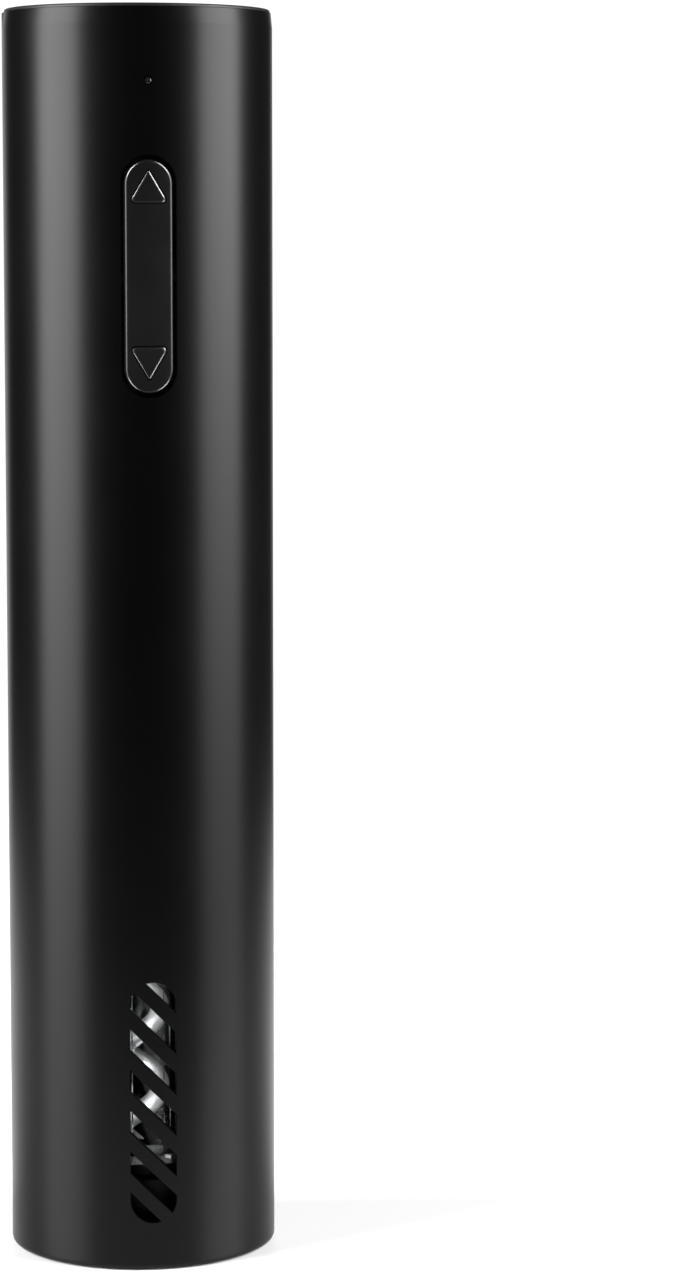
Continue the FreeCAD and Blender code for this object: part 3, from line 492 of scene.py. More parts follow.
MATERIALS = {
    "black_tube": surface("satin_black_tube", (0.00018, 0.00018, 0.0002), (0.00028, 0.00028, 0.0003),
                          (0.282, 0.302), grain=5200, grain_depth=2.5e-6, patch=45, specular=0.115),
    "black_trim": surface("satin_black_trim", (0.003, 0.003, 0.0032), (0.004, 0.004, 0.0042), (0.40, 0.48),
                          grain=4200, grain_depth=6e-6, specular=0.18),
    "button_black": surface("satin_black_button", (0.0005, 0.0005, 0.0005), (0.0008, 0.0008, 0.0008),
                            (0.23, 0.27), grain=6000, grain_depth=2e-6, specular=0.15),
    "frame_plastic": surface("moulded_grey", (0.04, 0.04, 0.042), (0.055, 0.055, 0.058), (0.5, 0.6)),
    "bright_steel": surface("polished_steel", (0.78, 0.78, 0.79), (0.86, 0.86, 0.87), (0.30, 0.42),
                            metallic=1.0, grain=1500, grain_depth=1.2e-5, stretch=(1, 1, 0.12)),
    "screw_steel": surface("plated_steel", (0.48, 0.48, 0.49), (0.6, 0.6, 0.6), (0.25, 0.4), metallic=1.0),
    "black_steel": surface("black_oxide_steel", (0.012, 0.012, 0.013), (0.018, 0.018, 0.019), (0.5, 0.6)),
    "smoked_lens": surface("smoked_lens", (0.004, 0.004, 0.0045), (0.007, 0.007, 0.008), (0.05, 0.09),
                           grain=2500, grain_depth=2e-6, specular=0.6),
    "cast_zinc": surface("cast_zinc", (0.42, 0.42, 0.43), (0.5, 0.5, 0.51), (0.4, 0.55), metallic=1.0,
                         grain=1800, grain_depth=1.5e-5),
    "gear_nylon": surface("white_acetal", (0.72, 0.7, 0.64), (0.78, 0.76, 0.71), (0.35, 0.45)),
    "pressed_steel": surface("pressed_steel", (0.42, 0.42, 0.43), (0.52, 0.52, 0.53), (0.28, 0.4),
                             metallic=1.0, stretch=(1, 1, 0.1)),
    "brass": surface("brass", (0.58, 0.43, 0.18), (0.68, 0.52, 0.24), (0.3, 0.42), metallic=1.0),
    "copper": surface("enamelled_copper", (0.55, 0.2, 0.08), (0.7, 0.3, 0.14), (0.25, 0.35), metallic=1.0,
                      grain=2200, grain_depth=4e-5, stretch=(0.1, 0.1, 1)),
    "lamination": surface("steel_laminations", (0.25, 0.25, 0.26), (0.36, 0.36, 0.37), (0.4, 0.5),
                          metallic=1.0, grain=2000, grain_depth=4e-5, stretch=(0.02, 0.02, 1)),
    "ferrite": surface("ferrite", (0.06, 0.06, 0.065), (0.09, 0.09, 0.095), (0.6, 0.75)),
    "cap_plastic": surface("black_nylon", (0.018, 0.018, 0.019), (0.026, 0.026, 0.027), (0.45, 0.55)),
    "board_green": surface("solder_mask", (0.01, 0.09, 0.035), (0.014, 0.12, 0.05), (0.25, 0.35), coat=0.3),
    "plunger_rubber": surface("silicone_grey", (0.09, 0.09, 0.092), (0.12, 0.12, 0.122), (0.6, 0.7)),
    "led_white": surface("led_package", (0.8, 0.8, 0.72), (0.86, 0.85, 0.78), (0.2, 0.3)),
    "socket_steel": surface("socket_steel", (0.52, 0.52, 0.54), (0.62, 0.62, 0.63), (0.22, 0.34),
                            metallic=1.0, stretch=(0.1, 1, 1)),
    "cell_wrap": surface("cell_wrap", (0.03, 0.12, 0.32), (0.04, 0.16, 0.4), (0.2, 0.3), coat=0.4),
    "lead_red": surface("wire_insulation", (0.4, 0.02, 0.02), (0.5, 0.03, 0.03), (0.35, 0.45)),
    "clear_plastic": clear_plastic("clear_polycarbonate"),
}


def dress_cad_nodes():
    """Every CAD node takes its slot's procedural material."""
    for row in frame["record"]["subparts"]:
        node = nodes[row["node"]]
        node.data.materials.clear()
        node.data.materials.append(MATERIALS[row["material_slot"]])
        node.data.polygons.foreach_set("material_index", [0] * len(node.data.polygons))


# ------------------------------------------------------------------ outer tube

def slot_loops():
    """Outlines of the slanted openings of the window."""
    window = obround(WINDOW[0], WINDOW[1], WINDOW_CENTRE, steps=20)
    across = Vector((1, 1)).normalized()
    loops = []
    for k in range(SLOT_COUNT):
        middle = Vector((0, WINDOW_CENTRE + (k - SLOT_COUNT // 2) * SLOT_PITCH))
        strip = clip(window, middle + across * SLOT_WIDTH / 2, across)
        strip = clip(strip, middle - across * SLOT_WIDTH / 2, -across)
        loops.append(resampled(without_doubles(strip), FINE_STEP))
    return loops


def tube_holes():
    """Outline of each opening, with the turn from the tube's front to the opening's side."""
    front = slot_loops()
    front.append(resampled(obround(*BUTTON_HOLE, BUTTON_CENTRE, steps=24), COARSE_STEP))
    front.append(circle(LIGHT_HOLE_RADIUS, 0.0, LIGHT_HEIGHT))
    length, height = SOCKET_HOLE
    socket = [Vector((p.y, SOCKET_HEIGHT - p.x)) for p in reversed(obround(height, length, 0.0))]
    holes = [(counter_clockwise(loop), 0.0) for loop in front]
    return holes + [(counter_clockwise(resampled(socket, FINE_STEP)), math.pi)]


def hole_angle(point, radius, turn):
    """Angle round the tube of an opening's corner on a cylinder; a turned opening is seen from the back."""
    lean = math.asin(max(-1.0, min(1.0, point[0] / radius)))
    return turn - lean if turn else lean


def on_cylinder(angle, radius, z):
    """Point on a cylinder, at an angle from the front."""
    return (radius * math.sin(angle), -radius * math.cos(angle), z)


def outer_profile(z):
    """Radius and outward slope (radial, up) of the tube's outside at a height."""
    if z < FOOT_FILLET:
        drop = 1 - z / FOOT_FILLET
        lean = math.sqrt(max(0.0, 1 - drop * drop))
        return TUBE_RADIUS - FOOT_FILLET * (1 - lean), (lean, -drop)
    if z > TUBE_TOP - TOP_ROUND:
        rise = min(1.0, (z - (TUBE_TOP - TOP_ROUND)) / TOP_ROUND)
        lean = math.sqrt(1 - rise * rise)
        return TUBE_RADIUS - TOP_ROUND * (1 - lean), (lean, rise)
    return TUBE_RADIUS, (1.0, 0.0)


def tube_rows():
    """Heights of the skin's rings: foot fillet, wall and rounded top edge."""
    wall_height = TUBE_TOP - TOP_ROUND - FOOT_FILLET
    foot = [FOOT_FILLET * (1 - math.cos(math.radians(a))) for a in range(0, 91, 18)]
    wall = [FOOT_FILLET + wall_height * k / TUBE_WALL_ROWS for k in range(1, TUBE_WALL_ROWS + 1)]
    lip = [TUBE_TOP - TOP_ROUND * (1 - math.sin(math.radians(a))) for a in (20, 40, 60, 90)]
    return foot + wall + lip


def tube_grid(holes):
    """The unrolled skin with its holes: (points, triangles, index of each loop, columns, rows)."""
    unrolled = [[Vector((hole_angle(p, TUBE_RADIUS, turn) * TUBE_RADIUS, p[1]))
                 for p in offset(loop, EDGE_BREAK)] for loop, turn in holes]
    seam = -math.pi / 2
    columns = [(seam + 2 * math.pi * k / TUBE_COLUMNS) * TUBE_RADIUS for k in range(TUBE_COLUMNS + 1)]
    rows = tube_rows()
    boundary = [Vector((x, rows[0])) for x in columns]
    boundary += [Vector((columns[-1], z)) for z in rows[1:]]
    boundary += [Vector((x, rows[-1])) for x in reversed(columns[:-1])]
    boundary += [Vector((columns[0], z)) for z in reversed(rows[1:-1])]
    extra = grid_points(columns[1:-1], rows[1:-1], boundary, unrolled, clearance=0.3)
    return *fill(boundary, unrolled, extra), len(columns), len(rows)


def line_hole(bm, loop, turn, outer, inner):
    """Broken edge and straight wall of an opening, from the skin's ring to the lining's."""
    for vertex, point in zip(inner, loop):
        vertex.co = on_cylinder(hole_angle(point, BORE_RADIUS, turn), BORE_RADIUS, point[1])
    previous = outer
    for share in (0.35, 1.0):
        lean = math.radians(90 * share)
        inset = EDGE_BREAK * (1 - math.sin(lean))
        depth = EDGE_BREAK * (1 - math.cos(lean))
        radius = TUBE_RADIUS - depth
        band = [bm.verts.new(on_cylinder(hole_angle(p, radius, turn), radius, p[1]))
                for p in offset(loop, inset)]
        join_loops(bm, previous, band)
        previous = band
    join_loops(bm, previous, inner)


def make_tube():
    """Tube with broken edges at every opening: an outer skin, an inner skin and bands between."""
    holes = tube_holes()
    points, triangles, loops, columns, rows = tube_grid(holes)
    bm = bmesh.new()
    skin = [bm.verts.new(on_cylinder(p.x / TUBE_RADIUS, outer_profile(p.y)[0], p.y)) for p in points]
    lining = [bm.verts.new(on_cylinder(p.x / TUBE_RADIUS, BORE_RADIUS, p.y)) for p in points]
    for a, b, c in triangles:
        bm.faces.new((skin[a], skin[b], skin[c]))
        bm.faces.new((lining[c], lining[b], lining[a]))
    for (loop, turn), ring in zip(holes, loops[1:]):
        line_hole(bm, loop, turn, [skin[k] for k in ring], [lining[k] for k in ring])
    edge = loops[0]
    top_start = columns + rows - 2
    for run in (edge[:columns], edge[top_start:top_start + columns]):
        for a, b in zip(run, run[1:]):
            bm.faces.new((skin[a], lining[a], lining[b], skin[b]))
    tube = finish_mesh("tube_shell", bm, "housing", ["outer_tube"], "black_tube", sharp=40)
    set_tube_normals(tube)


def set_tube_normals(tube):
    """Exact normals on the turned outside, so that long reflections run straight."""
    mesh = tube.data
    normals = []
    for face in mesh.polygons:
        centre = face.center / MM
        flat = Vector((centre.x, centre.y, 0))
        radius, slope = outer_profile(min(max(centre.z, 0), TUBE_TOP))
        outward = flat.normalized() * slope[0] + Vector((0, 0, slope[1]))
        # a face is on the skin if it lies near the skin's radius and faces almost its way
        on_skin = flat.length > radius - 0.06 and face.normal.dot(outward) > 0.97
        on_wall = FOOT_FILLET < centre.z < TUBE_TOP - TOP_ROUND
        for k in face.loop_indices:
            if not on_skin:
                normals.append((0, 0, 0))
                continue
            point = mesh.vertices[mesh.loops[k].vertex_index].co / MM
            # a face of the wall is upright up to its edges, so it takes the slope half way up the tube
            height = TUBE_TOP / 2 if on_wall else min(max(point.z, 0), TUBE_TOP)
            lean = outer_profile(height)[1]
            around = Vector((point.x, point.y, 0)).normalized()
            normals.append(tuple((around * lean[0] + Vector((0, 0, lean[1]))).normalized()))
    mesh.normals_split_custom_set(normals)


# ------------------------------------------------------------------ rocker button

def arrow_depth(share):
    """Depth of the groove round an arrow: steep outside, rounded towards the arrow."""
    if share >= ARROW_WALL:
        return ARROW_DEPTH * (1 - share) / (1 - ARROW_WALL)
    return ARROW_DEPTH * ((share + 1) / (ARROW_WALL + 1)) ** 2


def crossing(point_a, along_a, point_b, along_b):
    """Where two lines in the plane meet."""
    across = along_a.x * along_b.y - along_a.y * along_b.x
    gap = point_b - point_a
    return point_a + along_a * ((gap.x * along_b.y - gap.y * along_b.x) / across)


def arrow_ring(arrow, share):
    """Rounded triangle in an arrow's groove: share runs from -1 at its inner edge to 1 at its outer edge."""
    apex_z, base_z, half_width = arrow
    corners = [Vector(p) for p in ((0, apex_z), (-half_width, base_z), (half_width, base_z))]
    corners = counter_clockwise(corners)
    lines = []
    for k, corner in enumerate(corners):
        along = (corners[(k + 1) % 3] - corner).normalized()
        out = Vector((along.y, -along.x))
        slope = BASE_SLOPE if abs(along.y) < 1e-6 else SIDE_SLOPE
        lines.append((corner + out * share * slope, along))
    outline = []
    for k, corner in enumerate(corners):
        radius = ARROW_APEX_RADIUS if abs(corner.x) < 1e-6 else ARROW_BASE_RADIUS
        outline.append((*crossing(*lines[k - 1], *lines[k]), max(0.03, radius + share * SIDE_SLOPE)))
    arcs = rounded(outline, ARROW_STEPS)
    points = []
    for k in range(3):
        arc = arcs[k * (ARROW_STEPS + 1):(k + 1) * (ARROW_STEPS + 1)]
        after = arcs[((k + 1) % 3) * (ARROW_STEPS + 1)]
        points += arc + [arc[-1].lerp(after, j / ARROW_SIDE_PARTS) for j in range(1, ARROW_SIDE_PARTS)]
    return points


def on_button(point, depth):
    """A point of the flat outline laid on the button's round face, at a depth under the tube's surface."""
    radius = TUBE_RADIUS - depth
    return (point[0], -math.sqrt(radius * radius - point[0] * point[0]), point[1])


def close_loop(bm, outline, depth, previous, facing_out):
    """Cap an outline at a depth and join it to the ring before it."""
    points, triangles, loops = fill(outline, [], [])
    cap = [bm.verts.new(on_button(p, depth)) for p in points]
    join_loops(bm, previous, [cap[k] for k in loops[0]])
    for a, b, c in triangles:
        bm.faces.new((cap[a], cap[b], cap[c]) if facing_out else (cap[c], cap[b], cap[a]))


def make_button():
    """Rocker face that follows the tube, with a round rim and a grooved triangle at each end."""
    outline = obround(BUTTON_WIDTH, BUTTON_LENGTH, BUTTON_CENTRE, steps=24)
    outline = counter_clockwise(resampled(outline, COARSE_STEP))
    face_edge = offset(outline, -RIM_RADIUS)
    outer_loops = [arrow_ring(arrow, 1.0) for arrow in ARROWS]
    columns = [BUTTON_WIDTH * (k / 10 - 0.5) for k in range(1, 10)]
    rows = [BUTTON_LOW.z + BUTTON_LENGTH * k / 36 for k in range(1, 36)]
    extra = grid_points(columns, rows, face_edge, outer_loops, clearance=0.2)
    points, triangles, loops = fill(face_edge, outer_loops, extra)

    bm = bmesh.new()
    skin = [bm.verts.new(on_button(p, 0.0)) for p in points]
    for a, b, c in triangles:
        bm.faces.new((skin[a], skin[b], skin[c]))
    for arrow, loop in zip(ARROWS, loops[1:]):
        previous = [skin[k] for k in loop]
        for share in ARROW_SHARES:
            band = [bm.verts.new(on_button(p, arrow_depth(share))) for p in arrow_ring(arrow, share)]
            join_loops(bm, previous, band)
            previous = band
        close_loop(bm, arrow_ring(arrow, -1.0), 0.0, previous, facing_out=True)
    previous = [skin[k] for k in loops[0]]
    for step in reversed(range(RIM_STEPS)):
        lean = math.radians(90 * step / RIM_STEPS)
        depth = RIM_RADIUS * (1 - math.sin(lean))
        inset = RIM_RADIUS * (1 - math.cos(lean))
        band = [bm.verts.new(on_button(p, depth)) for p in offset(outline, -inset)]
        join_loops(bm, previous, band)
        previous = band
    close_loop(bm, outline, TUBE_RADIUS - BUTTON_INNER, previous, facing_out=False)
    return finish_mesh("rocker_face", bm, "button", [], "button_black", sharp=50)


def make_button_works():
    """Boss with the pivot hole and the two posts that press the switches."""
    front_y, back_y = -21.1, BUTTON_HIGH.y
    pivot_y, pivot_hole, boss_half = -18.4, 1.03, 3
    side_x = BUTTON_WIDTH / 2 - 0.2
    low, high = BUTTON_CENTRE - boss_half, BUTTON_CENTRE + boss_half
    bm = bmesh.new()
    outline = [Vector(corner) for corner in ((front_y, low), (back_y, low), (back_y, high), (front_y, high))]
    hole = counter_clockwise(circle(pivot_hole, pivot_y, BUTTON_CENTRE, steps=28))
    points, triangles, loops = fill(counter_clockwise(outline), [hole], [])
    left = [bm.verts.new((-side_x, p.x, p.y)) for p in points]
    right = [bm.verts.new((side_x, p.x, p.y)) for p in points]
    for a, b, c in triangles:
        bm.faces.new((left[a], left[b], left[c]))
        bm.faces.new((right[c], right[b], right[a]))
    for loop in loops:
        join_loops(bm, [left[k] for k in loop], [right[k] for k in loop])
    post_offset, post_radius, post_tip, chamfer = 13.0, 1.6, -17.75, 0.3
    profile = [(0.0, front_y), (post_radius, front_y), (post_radius, post_tip - chamfer),
               (post_radius - chamfer, post_tip), (0.0, post_tip)]
    for side in (-1, 1):
        lathe_along_y(bm, profile, BUTTON_CENTRE + side * post_offset, 32)
    finish_mesh("rocker_works", bm, "button", [], "button_black")


# ------------------------------------------------------------------ turned and rolled pieces

def make_cap():
    """Top cap: a disc on the tube's end, with a skirt pressed into its bore."""
    top, rim = CAP_HIGH.z, CAP_HIGH.x
    under = top - 2.0
    skirt = BORE_RADIUS - PRESS_GAP
    skirt_inside = skirt - 1.6
    bm = bmesh.new()
    lathe(bm, rounded([
        (0.0, under, 0), (skirt_inside, under, 0.3), (skirt_inside, CAP_LOW.z, 0.2), (skirt, CAP_LOW.z, 0.3),
        (skirt, TUBE_TOP, 0.0), (rim, TUBE_TOP, 0.08), (rim, top, 0.38), (0.0, top, 0)]), 192)
    finish_mesh("cap_disc", bm, "housing", ["top_cap"], "black_trim")


def guide_screw_places():
    """Centres of the three guide screws."""
    angles = [math.radians(90 + 120 * k) for k in range(3)]
    return [(GUIDE_SCREW_CIRCLE * math.cos(a), GUIDE_SCREW_CIRCLE * math.sin(a)) for a in angles]


def make_guide():
    """Neck guide: flared mouth, bottle bore, seat and collar; three screw bosses stand on its flange."""
    low, high = GUIDE_LOW.z, GUIDE_HIGH.z
    rim = GUIDE_HIGH.x
    mouth, mouth_top, bottle_bore = 18.2, 4.0, 15.8
    flange_top, wall = 4.4, 17.9
    seat, cork_hole = 13.0, 12.6
    collar, collar_inside = 16.0, 14.45
    bm = bmesh.new()
    lathe(bm, rounded([
        (mouth, low, 0.5), (rim, low, 0.35), (rim, flange_top, 0.35), (wall, flange_top, 0.5),
        (wall, GUIDE_SEAT_TOP, 0.4), (collar, GUIDE_SEAT_TOP, 0.3), (collar, high, 0.4),
        (collar_inside, high, 0.3), (collar_inside, GUIDE_SEAT_TOP, 0.1), (cork_hole, GUIDE_SEAT_TOP, 0.4),
        (cork_hole, seat, 0.4), (bottle_bore, seat, 0.3), (bottle_bore, mouth_top, 1.2)]), 192)
    boss_low, boss_hole, boss_radius = 4.2, 1.05, 2.9
    boss = rounded([(boss_hole, boss_low, 0), (boss_radius, boss_low, 0), (boss_radius, GUIDE_SEAT_TOP, 0.3),
                    (boss_hole, GUIDE_SEAT_TOP, 0.2)])
    for place in guide_screw_places():
        lathe(bm, boss, 40, place)
    finish_mesh("guide_ring", bm, "housing", ["neck_guide"], "black_trim")


def make_sleeve():
    """Clear chamber; fine flutes inside let it grip the cork."""
    low, high = SLEEVE_LOW.z, SLEEVE_HIGH.z
    rim = SLEEVE_HIGH.x
    inside_radius, wall = 12.7, 14.4
    ring_low, ring_high, flange_low = 18.2, 20.2, 76.0
    bm = bmesh.new()
    lathe(bm, rounded([
        (inside_radius, low, 0.3), (wall, low, 0.3), (wall, ring_low, 0.4), (rim, ring_low, 0.3),
        (rim, ring_high, 0.3), (wall, ring_high, 0.6), (wall, flange_low, 0.6), (rim, flange_low, 0.3),
        (rim, high, 0.3), (inside_radius, high, 0.3)], 4))
    flute_count, flute_low = 12, 17.0
    root, shoulder, crest = 13.0, 12.3, 12.1
    half_root, half_crest = 0.5, 0.25
    for k in range(flute_count):
        angle = math.radians(15 + 360 / flute_count * k)
        along = Vector((math.cos(angle), math.sin(angle)))
        across = Vector((-along.y, along.x))
        section = [along * root - across * half_root, along * shoulder - across * half_root,
                   along * crest - across * half_crest, along * crest + across * half_crest,
                   along * shoulder + across * half_root, along * root + across * half_root]
        lower = [bm.verts.new((p.x, p.y, flute_low)) for p in section]
        upper = [bm.verts.new((p.x, p.y, flange_low)) for p in section]
        join_loops(bm, lower, upper)
        bm.faces.new(lower)
        bm.faces.new(upper)
    return finish_mesh("clear_chamber", bm, "housing", ["cork_sleeve"], "clear_plastic", sharp=30)


def make_worm():
    """Right-handed helix of round wire that thins to a ground point, with its collar and shank."""
    start, end = WORM_LOW.z + 0.5, 63.0
    lead = math.atan2(WORM_PITCH, 2 * math.pi * WORM_RADIUS)
    tip_radius, point_length = 0.12, 11.2
    point_rise = point_length * math.sin(lead)
    steps, sides = 300, 28
    bm = bmesh.new()
    rings = []
    for k in range(steps + 1):
        z = start + (end - start) * k / steps
        turn = WORM_ANGLE + 2 * math.pi * (z - WORM_START) / WORM_PITCH
        share = min(1.0, (z - start) / point_rise)
        wire = tip_radius + (WIRE_RADIUS - tip_radius) * math.sin(share * math.pi / 2) ** 0.8
        out = Vector((math.cos(turn), math.sin(turn), 0))
        tangent = Vector((-math.sin(turn) * math.cos(lead), math.cos(turn) * math.cos(lead), math.sin(lead)))
        third = tangent.cross(out)
        # the point is ground mostly on its inner side, so it stays near the outside of the helix
        centre = out * (WORM_RADIUS + (WIRE_RADIUS - wire) * 0.7) + Vector((0, 0, z))
        rings.append([bm.verts.new(centre + (out * math.cos(a) + third * math.sin(a)) * wire)
                      for a in (2 * math.pi * j / sides for j in range(sides))])
    for a, b in zip(rings, rings[1:]):
        join_loops(bm, a, b)
    bm.faces.new(rings[0])
    bm.faces.new(rings[-1])
    collar, collar_low, collar_high, shank_top = 5.4, 62.5, 64.0, 70.0
    lathe(bm, rounded([
        (0.0, collar_low, 0), (collar, collar_low, 0.6), (collar, collar_high, 0.0),
        (SHANK_RADIUS, collar_high, 0.0), (SHANK_RADIUS, shank_top, 0.3), (0.0, shank_top, 0)], 4), 64)
    return finish_mesh("steel_worm", bm, "output", ["worm"], "bright_steel", sharp=40)


def make_holder():
    """Hub that holds the worm's shank from below and takes the output shaft from above."""
    low, high = HOLDER_LOW.z, HOLDER_HIGH.z
    outside, chamfer, shaft_bore, step = 10.6, 2, 4.0, 70.2
    bm = bmesh.new()
    lathe(bm, rounded([
        (SHANK_RADIUS, low, 0.2), (outside - chamfer, low, 0.5), (outside, low + chamfer, 0.8),
        (outside, high, 0.6), (shaft_bore, high, 0.2), (shaft_bore, step, 0), (SHANK_RADIUS, step, 0)]), 96)
    return finish_mesh("worm_hub", bm, "output", ["worm_holder"], "cast_zinc")


def make_light():
    """Light pipe with a domed end that catches a glint."""
    radius = (PIPE_HIGH.x - PIPE_LOW.x) / 2
    front, back, dome = PIPE_LOW.y, PIPE_HIGH.y, 0.4
    angles = [math.pi / 2 * k / 6 for k in range(1, 6)]
    profile = [(0.0, back), (radius, back), (radius, front + dome)]
    profile += [(radius * math.cos(a), front + dome - dome * math.sin(a)) for a in angles]
    profile.append((0.0, front))
    bm = bmesh.new()
    lathe_along_y(bm, profile, LIGHT_HEIGHT, 40)
    finish_mesh("light_dome", bm, "housing", ["light_pipe"], "smoked_lens")


def make_socket():
    """Rolled steel shell of the charging socket."""
    width = SHELL_HIGH.x - SHELL_LOW.x
    height = 3.26
    back, front = SHELL_LOW.y, SHELL_HIGH.y
    centre = SHELL_HIGH.z - height / 2
    wall, chamfer, floor_thickness = 0.3, 0.1, 0.8
    shoulder = front - 0.15

    def ring(inset, y):
        loop = obround(height - 2 * inset, width - 2 * inset, 0.0, steps=16)
        return [bm.verts.new((p.y, y, centre - p.x)) for p in loop]

    bm = bmesh.new()
    loops = [ring(0.0, back), ring(0.0, shoulder), ring(chamfer, front), ring(wall - chamfer, front),
             ring(wall, shoulder), ring(wall, back + floor_thickness)]
    for a, b in zip(loops, loops[1:]):
        join_loops(bm, a, b)
    bm.faces.new(loops[0])
    bm.faces.new(loops[-1])
    finish_mesh("socket_rim", bm, "housing", ["socket_shell"], "socket_steel")


def make_guide_screws():
    """Three screws with round heads, each with a dimple, seen from below in the mouth."""
    low, high = GUIDE_SCREWS_LOW.z, GUIDE_SCREWS_HIGH.z
    head, shank, head_top = 1.9, 1.0, 3.4
    dimple, dimple_edge, dimple_depth = 0.55, 0.1, 0.7
    bm = bmesh.new()
    for place in guide_screw_places():
        lathe(bm, rounded([
            (0.0, low + dimple_depth, 0), (dimple, low + dimple_edge, 0), (head, low, 0.55),
            (head, head_top, 0.0), (shank, head_top, 0.0), (shank, high, 0.3), (0.0, high, 0)], 4), 48, place)
    finish_mesh("mouth_screws", bm, "housing", ["guide_screws"], "screw_steel")


# ------------------------------------------------------------------ making the stage, lights and camera

def make_floor():
    """Pale ground that fades out in a circle, so that no edge or horizon line shows."""
    mesh = bpy.data.meshes.new("floor")
    corners = [(FLOOR_SIZE * x, FLOOR_SIZE * y, 0) for x, y in ((-1, -1), (1, -1), (1, 1), (-1, 1))]
    mesh.from_pydata(corners, [], [(0, 1, 2, 3)])
    floor = bpy.data.objects.new("floor", mesh)
    bpy.context.scene.collection.objects.link(floor)
    material, tree, shader = new_material("pale_floor")
    shader.inputs["Base Color"].default_value = (FLOOR_GREY, FLOOR_GREY, FLOOR_GREY, 1)
    shader.inputs["Roughness"].default_value = 0.38
    place = tree.nodes.new("ShaderNodeTexCoord")
    length = tree.nodes.new("ShaderNodeVectorMath")
    length.operation = "DISTANCE"
    length.inputs[1].default_value = FLOOR_CENTRE
    fade = tree.nodes.new("ShaderNodeMapRange")
    fade.interpolation_type = "SMOOTHSTEP"
    fade.inputs["From Min"].default_value = FLOOR_SOLID
    fade.inputs["From Max"].default_value = FLOOR_GONE
    fade.inputs["To Min"].default_value = 1.0
    fade.inputs["To Max"].default_value = 0.0
    tree.links.new(place.outputs["Object"], length.inputs[0])
    tree.links.new(length.outputs["Value"], fade.inputs["Value"])
    tree.links.new(fade.outputs["Result"], shader.inputs["Alpha"])
    mesh.materials.append(material)


def make_world():
    """Dim room with a bright backdrop behind the object."""
    world = bpy.data.worlds.new("studio")
    bpy.context.scene.world = world
    world.use_nodes = True
    tree = world.node_tree
    background = tree.nodes["Background"]
    background.inputs["Color"].default_value = (1, 1, 1, 1)
    place = tree.nodes.new("ShaderNodeTexCoord")
    split = tree.nodes.new("ShaderNodeSeparateXYZ")
    ramp = tree.nodes.new("ShaderNodeMapRange")
    ramp.interpolation_type = "SMOOTHSTEP"
    ramp.inputs["From Min"].default_value = BACKDROP_EDGE[0]
    ramp.inputs["From Max"].default_value = BACKDROP_EDGE[1]
    ramp.inputs["To Min"].default_value = WORLD_FRONT
    ramp.inputs["To Max"].default_value = WORLD_BACK
    tree.links.new(place.outputs["Generated"], split.inputs["Vector"])
    tree.links.new(split.outputs["Y"], ramp.inputs["Value"])
    # seen directly, the room is as pale in every direction as behind the object
    seen = tree.nodes.new("ShaderNodeLightPath")
    pale = tree.nodes.new("ShaderNodeMath")
    pale.operation = "MULTIPLY"
    pale.inputs[1].default_value = WORLD_BACK
    strength = tree.nodes.new("ShaderNodeMath")
    strength.operation = "MAXIMUM"
    tree.links.new(seen.outputs["Is Camera Ray"], pale.inputs[0])
    tree.links.new(pale.outputs["Value"], strength.inputs[0])
    tree.links.new(ramp.outputs["Result"], strength.inputs[1])
    tree.links.new(strength.outputs["Value"], background.inputs["Strength"])


def soft_box(name, azimuth, distance, low, high, width, power, aim=None):
    """Upright soft light at an angle round the object from the camera's side, level or aimed at a height."""
    light = bpy.data.lights.new(name, "AREA")
    light.shape = "RECTANGLE"
    light.size = width
    light.size_y = high - low
    light.energy = power
    lamp = bpy.data.objects.new(name, light)
    angle = math.radians(azimuth - CAMERA_AZIMUTH)
    place = Vector((math.sin(angle) * distance, -math.cos(angle) * distance, (low + high) / 2))
    lamp.location = place
    target = Vector((0, 0, place.z if aim is None else aim))
    lamp.rotation_euler = (target - place).to_track_quat("-Z", "Y").to_euler()
    lamp.visible_camera = False
    bpy.context.scene.collection.objects.link(lamp)
    return lamp


def linked_light(lit, *box):
    """Soft light that only the pieces in a collection receive and block."""
    lamp = soft_box(*box)
    lamp.light_linking.receiver_collection = lit
    lamp.light_linking.blocker_collection = lit


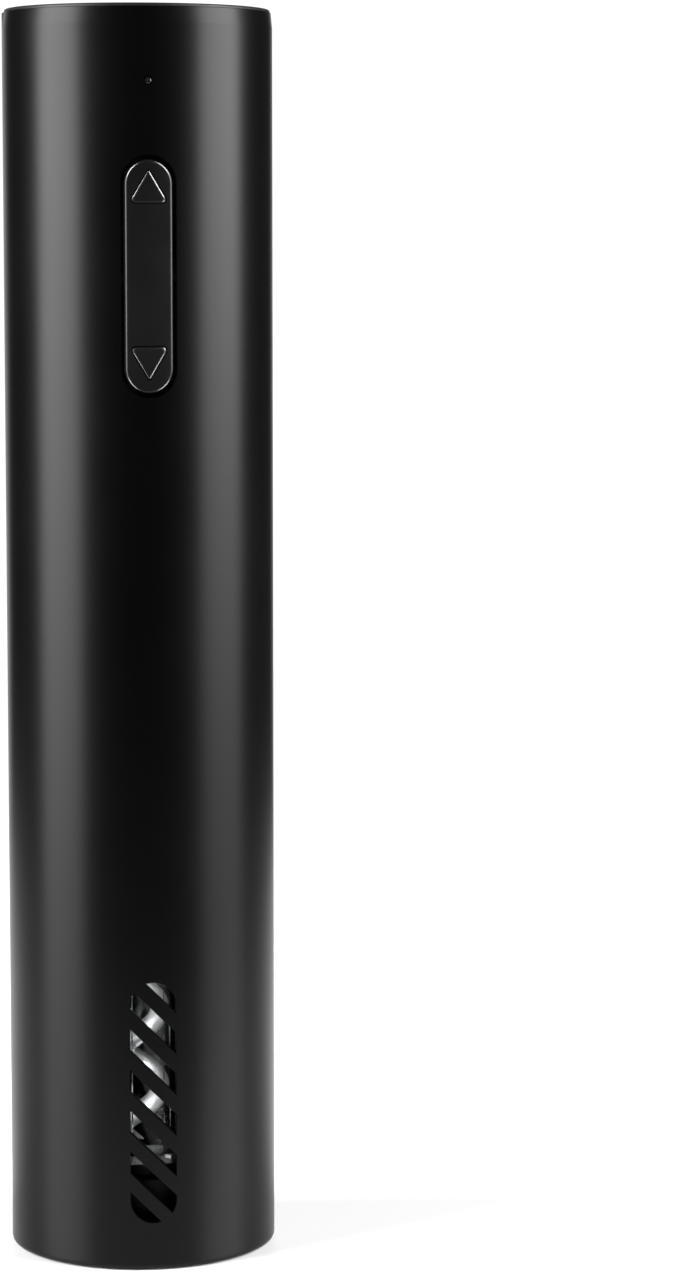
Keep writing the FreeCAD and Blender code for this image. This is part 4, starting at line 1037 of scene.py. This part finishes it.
def group(name, pieces):
    """Collection for light linking."""
    lit = bpy.data.collections.new(name)
    for piece in pieces:
        lit.objects.link(piece)
    return lit


def soft_column(name, azimuth, radiance, bands):
    """Tall soft light beside the object, whose radiance changes from band to band."""
    for number, (low, high, share) in enumerate(bands):
        power = math.pi * COLUMN_WIDTH * (high - low) * radiance * share
        soft_box(name + "_" + str(number), azimuth, COLUMN_DISTANCE, low, high, COLUMN_WIDTH, power)


def make_lights(worm_pieces, sleeve, face):
    """Two soft columns, and small lights that reach only the worm and holder, the chamber or the button."""
    for column in SOFT_COLUMNS:
        soft_column(*column)
    for name, pieces, boxes in (("worm_and_holder", worm_pieces, WORM_LIGHTS),
                                ("sleeve_only", (sleeve,), SLEEVE_LIGHTS),
                                ("button_only", (face,), BUTTON_LIGHTS)):
        lit = group(name, pieces)
        for box in boxes:
            linked_light(lit, *box)


def make_camera():
    """Camera in front of the object, tipped down and turned so that the object stands on the left."""
    data = bpy.data.cameras.new("camera")
    data.sensor_width = 36.0
    data.lens = CAMERA_LENS
    data.clip_start = 0.01
    data.clip_end = 50
    camera = bpy.data.objects.new("camera", data)
    angle = math.radians(CAMERA_AZIMUTH)
    camera.location = (-CAMERA_DISTANCE * math.sin(angle), -CAMERA_DISTANCE * math.cos(angle), CAMERA_HEIGHT)
    heading = math.radians(CAMERA_AZIMUTH + CAMERA_YAW)
    pitch = math.radians(CAMERA_PITCH)
    level = math.cos(pitch)
    forward = Vector((math.sin(heading) * level, math.cos(heading) * level, -math.sin(pitch)))
    camera.rotation_mode = "QUATERNION"
    camera.rotation_quaternion = forward.to_track_quat("-Z", "Y")
    bpy.context.scene.collection.objects.link(camera)
    bpy.context.scene.camera = camera


# ------------------------------------------------------------------ the scene

dress_cad_nodes()
make_tube()
face = make_button()
make_button_works()
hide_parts("rocker_button")
make_cap()
make_guide()
sleeve = make_sleeve()
worm = make_worm()
holder = make_holder()
make_light()
make_socket()
make_guide_screws()
make_floor()
make_world()
make_lights((worm, holder), sleeve, face)
make_camera()
bpy.context.scene.view_settings.view_transform = "Standard"
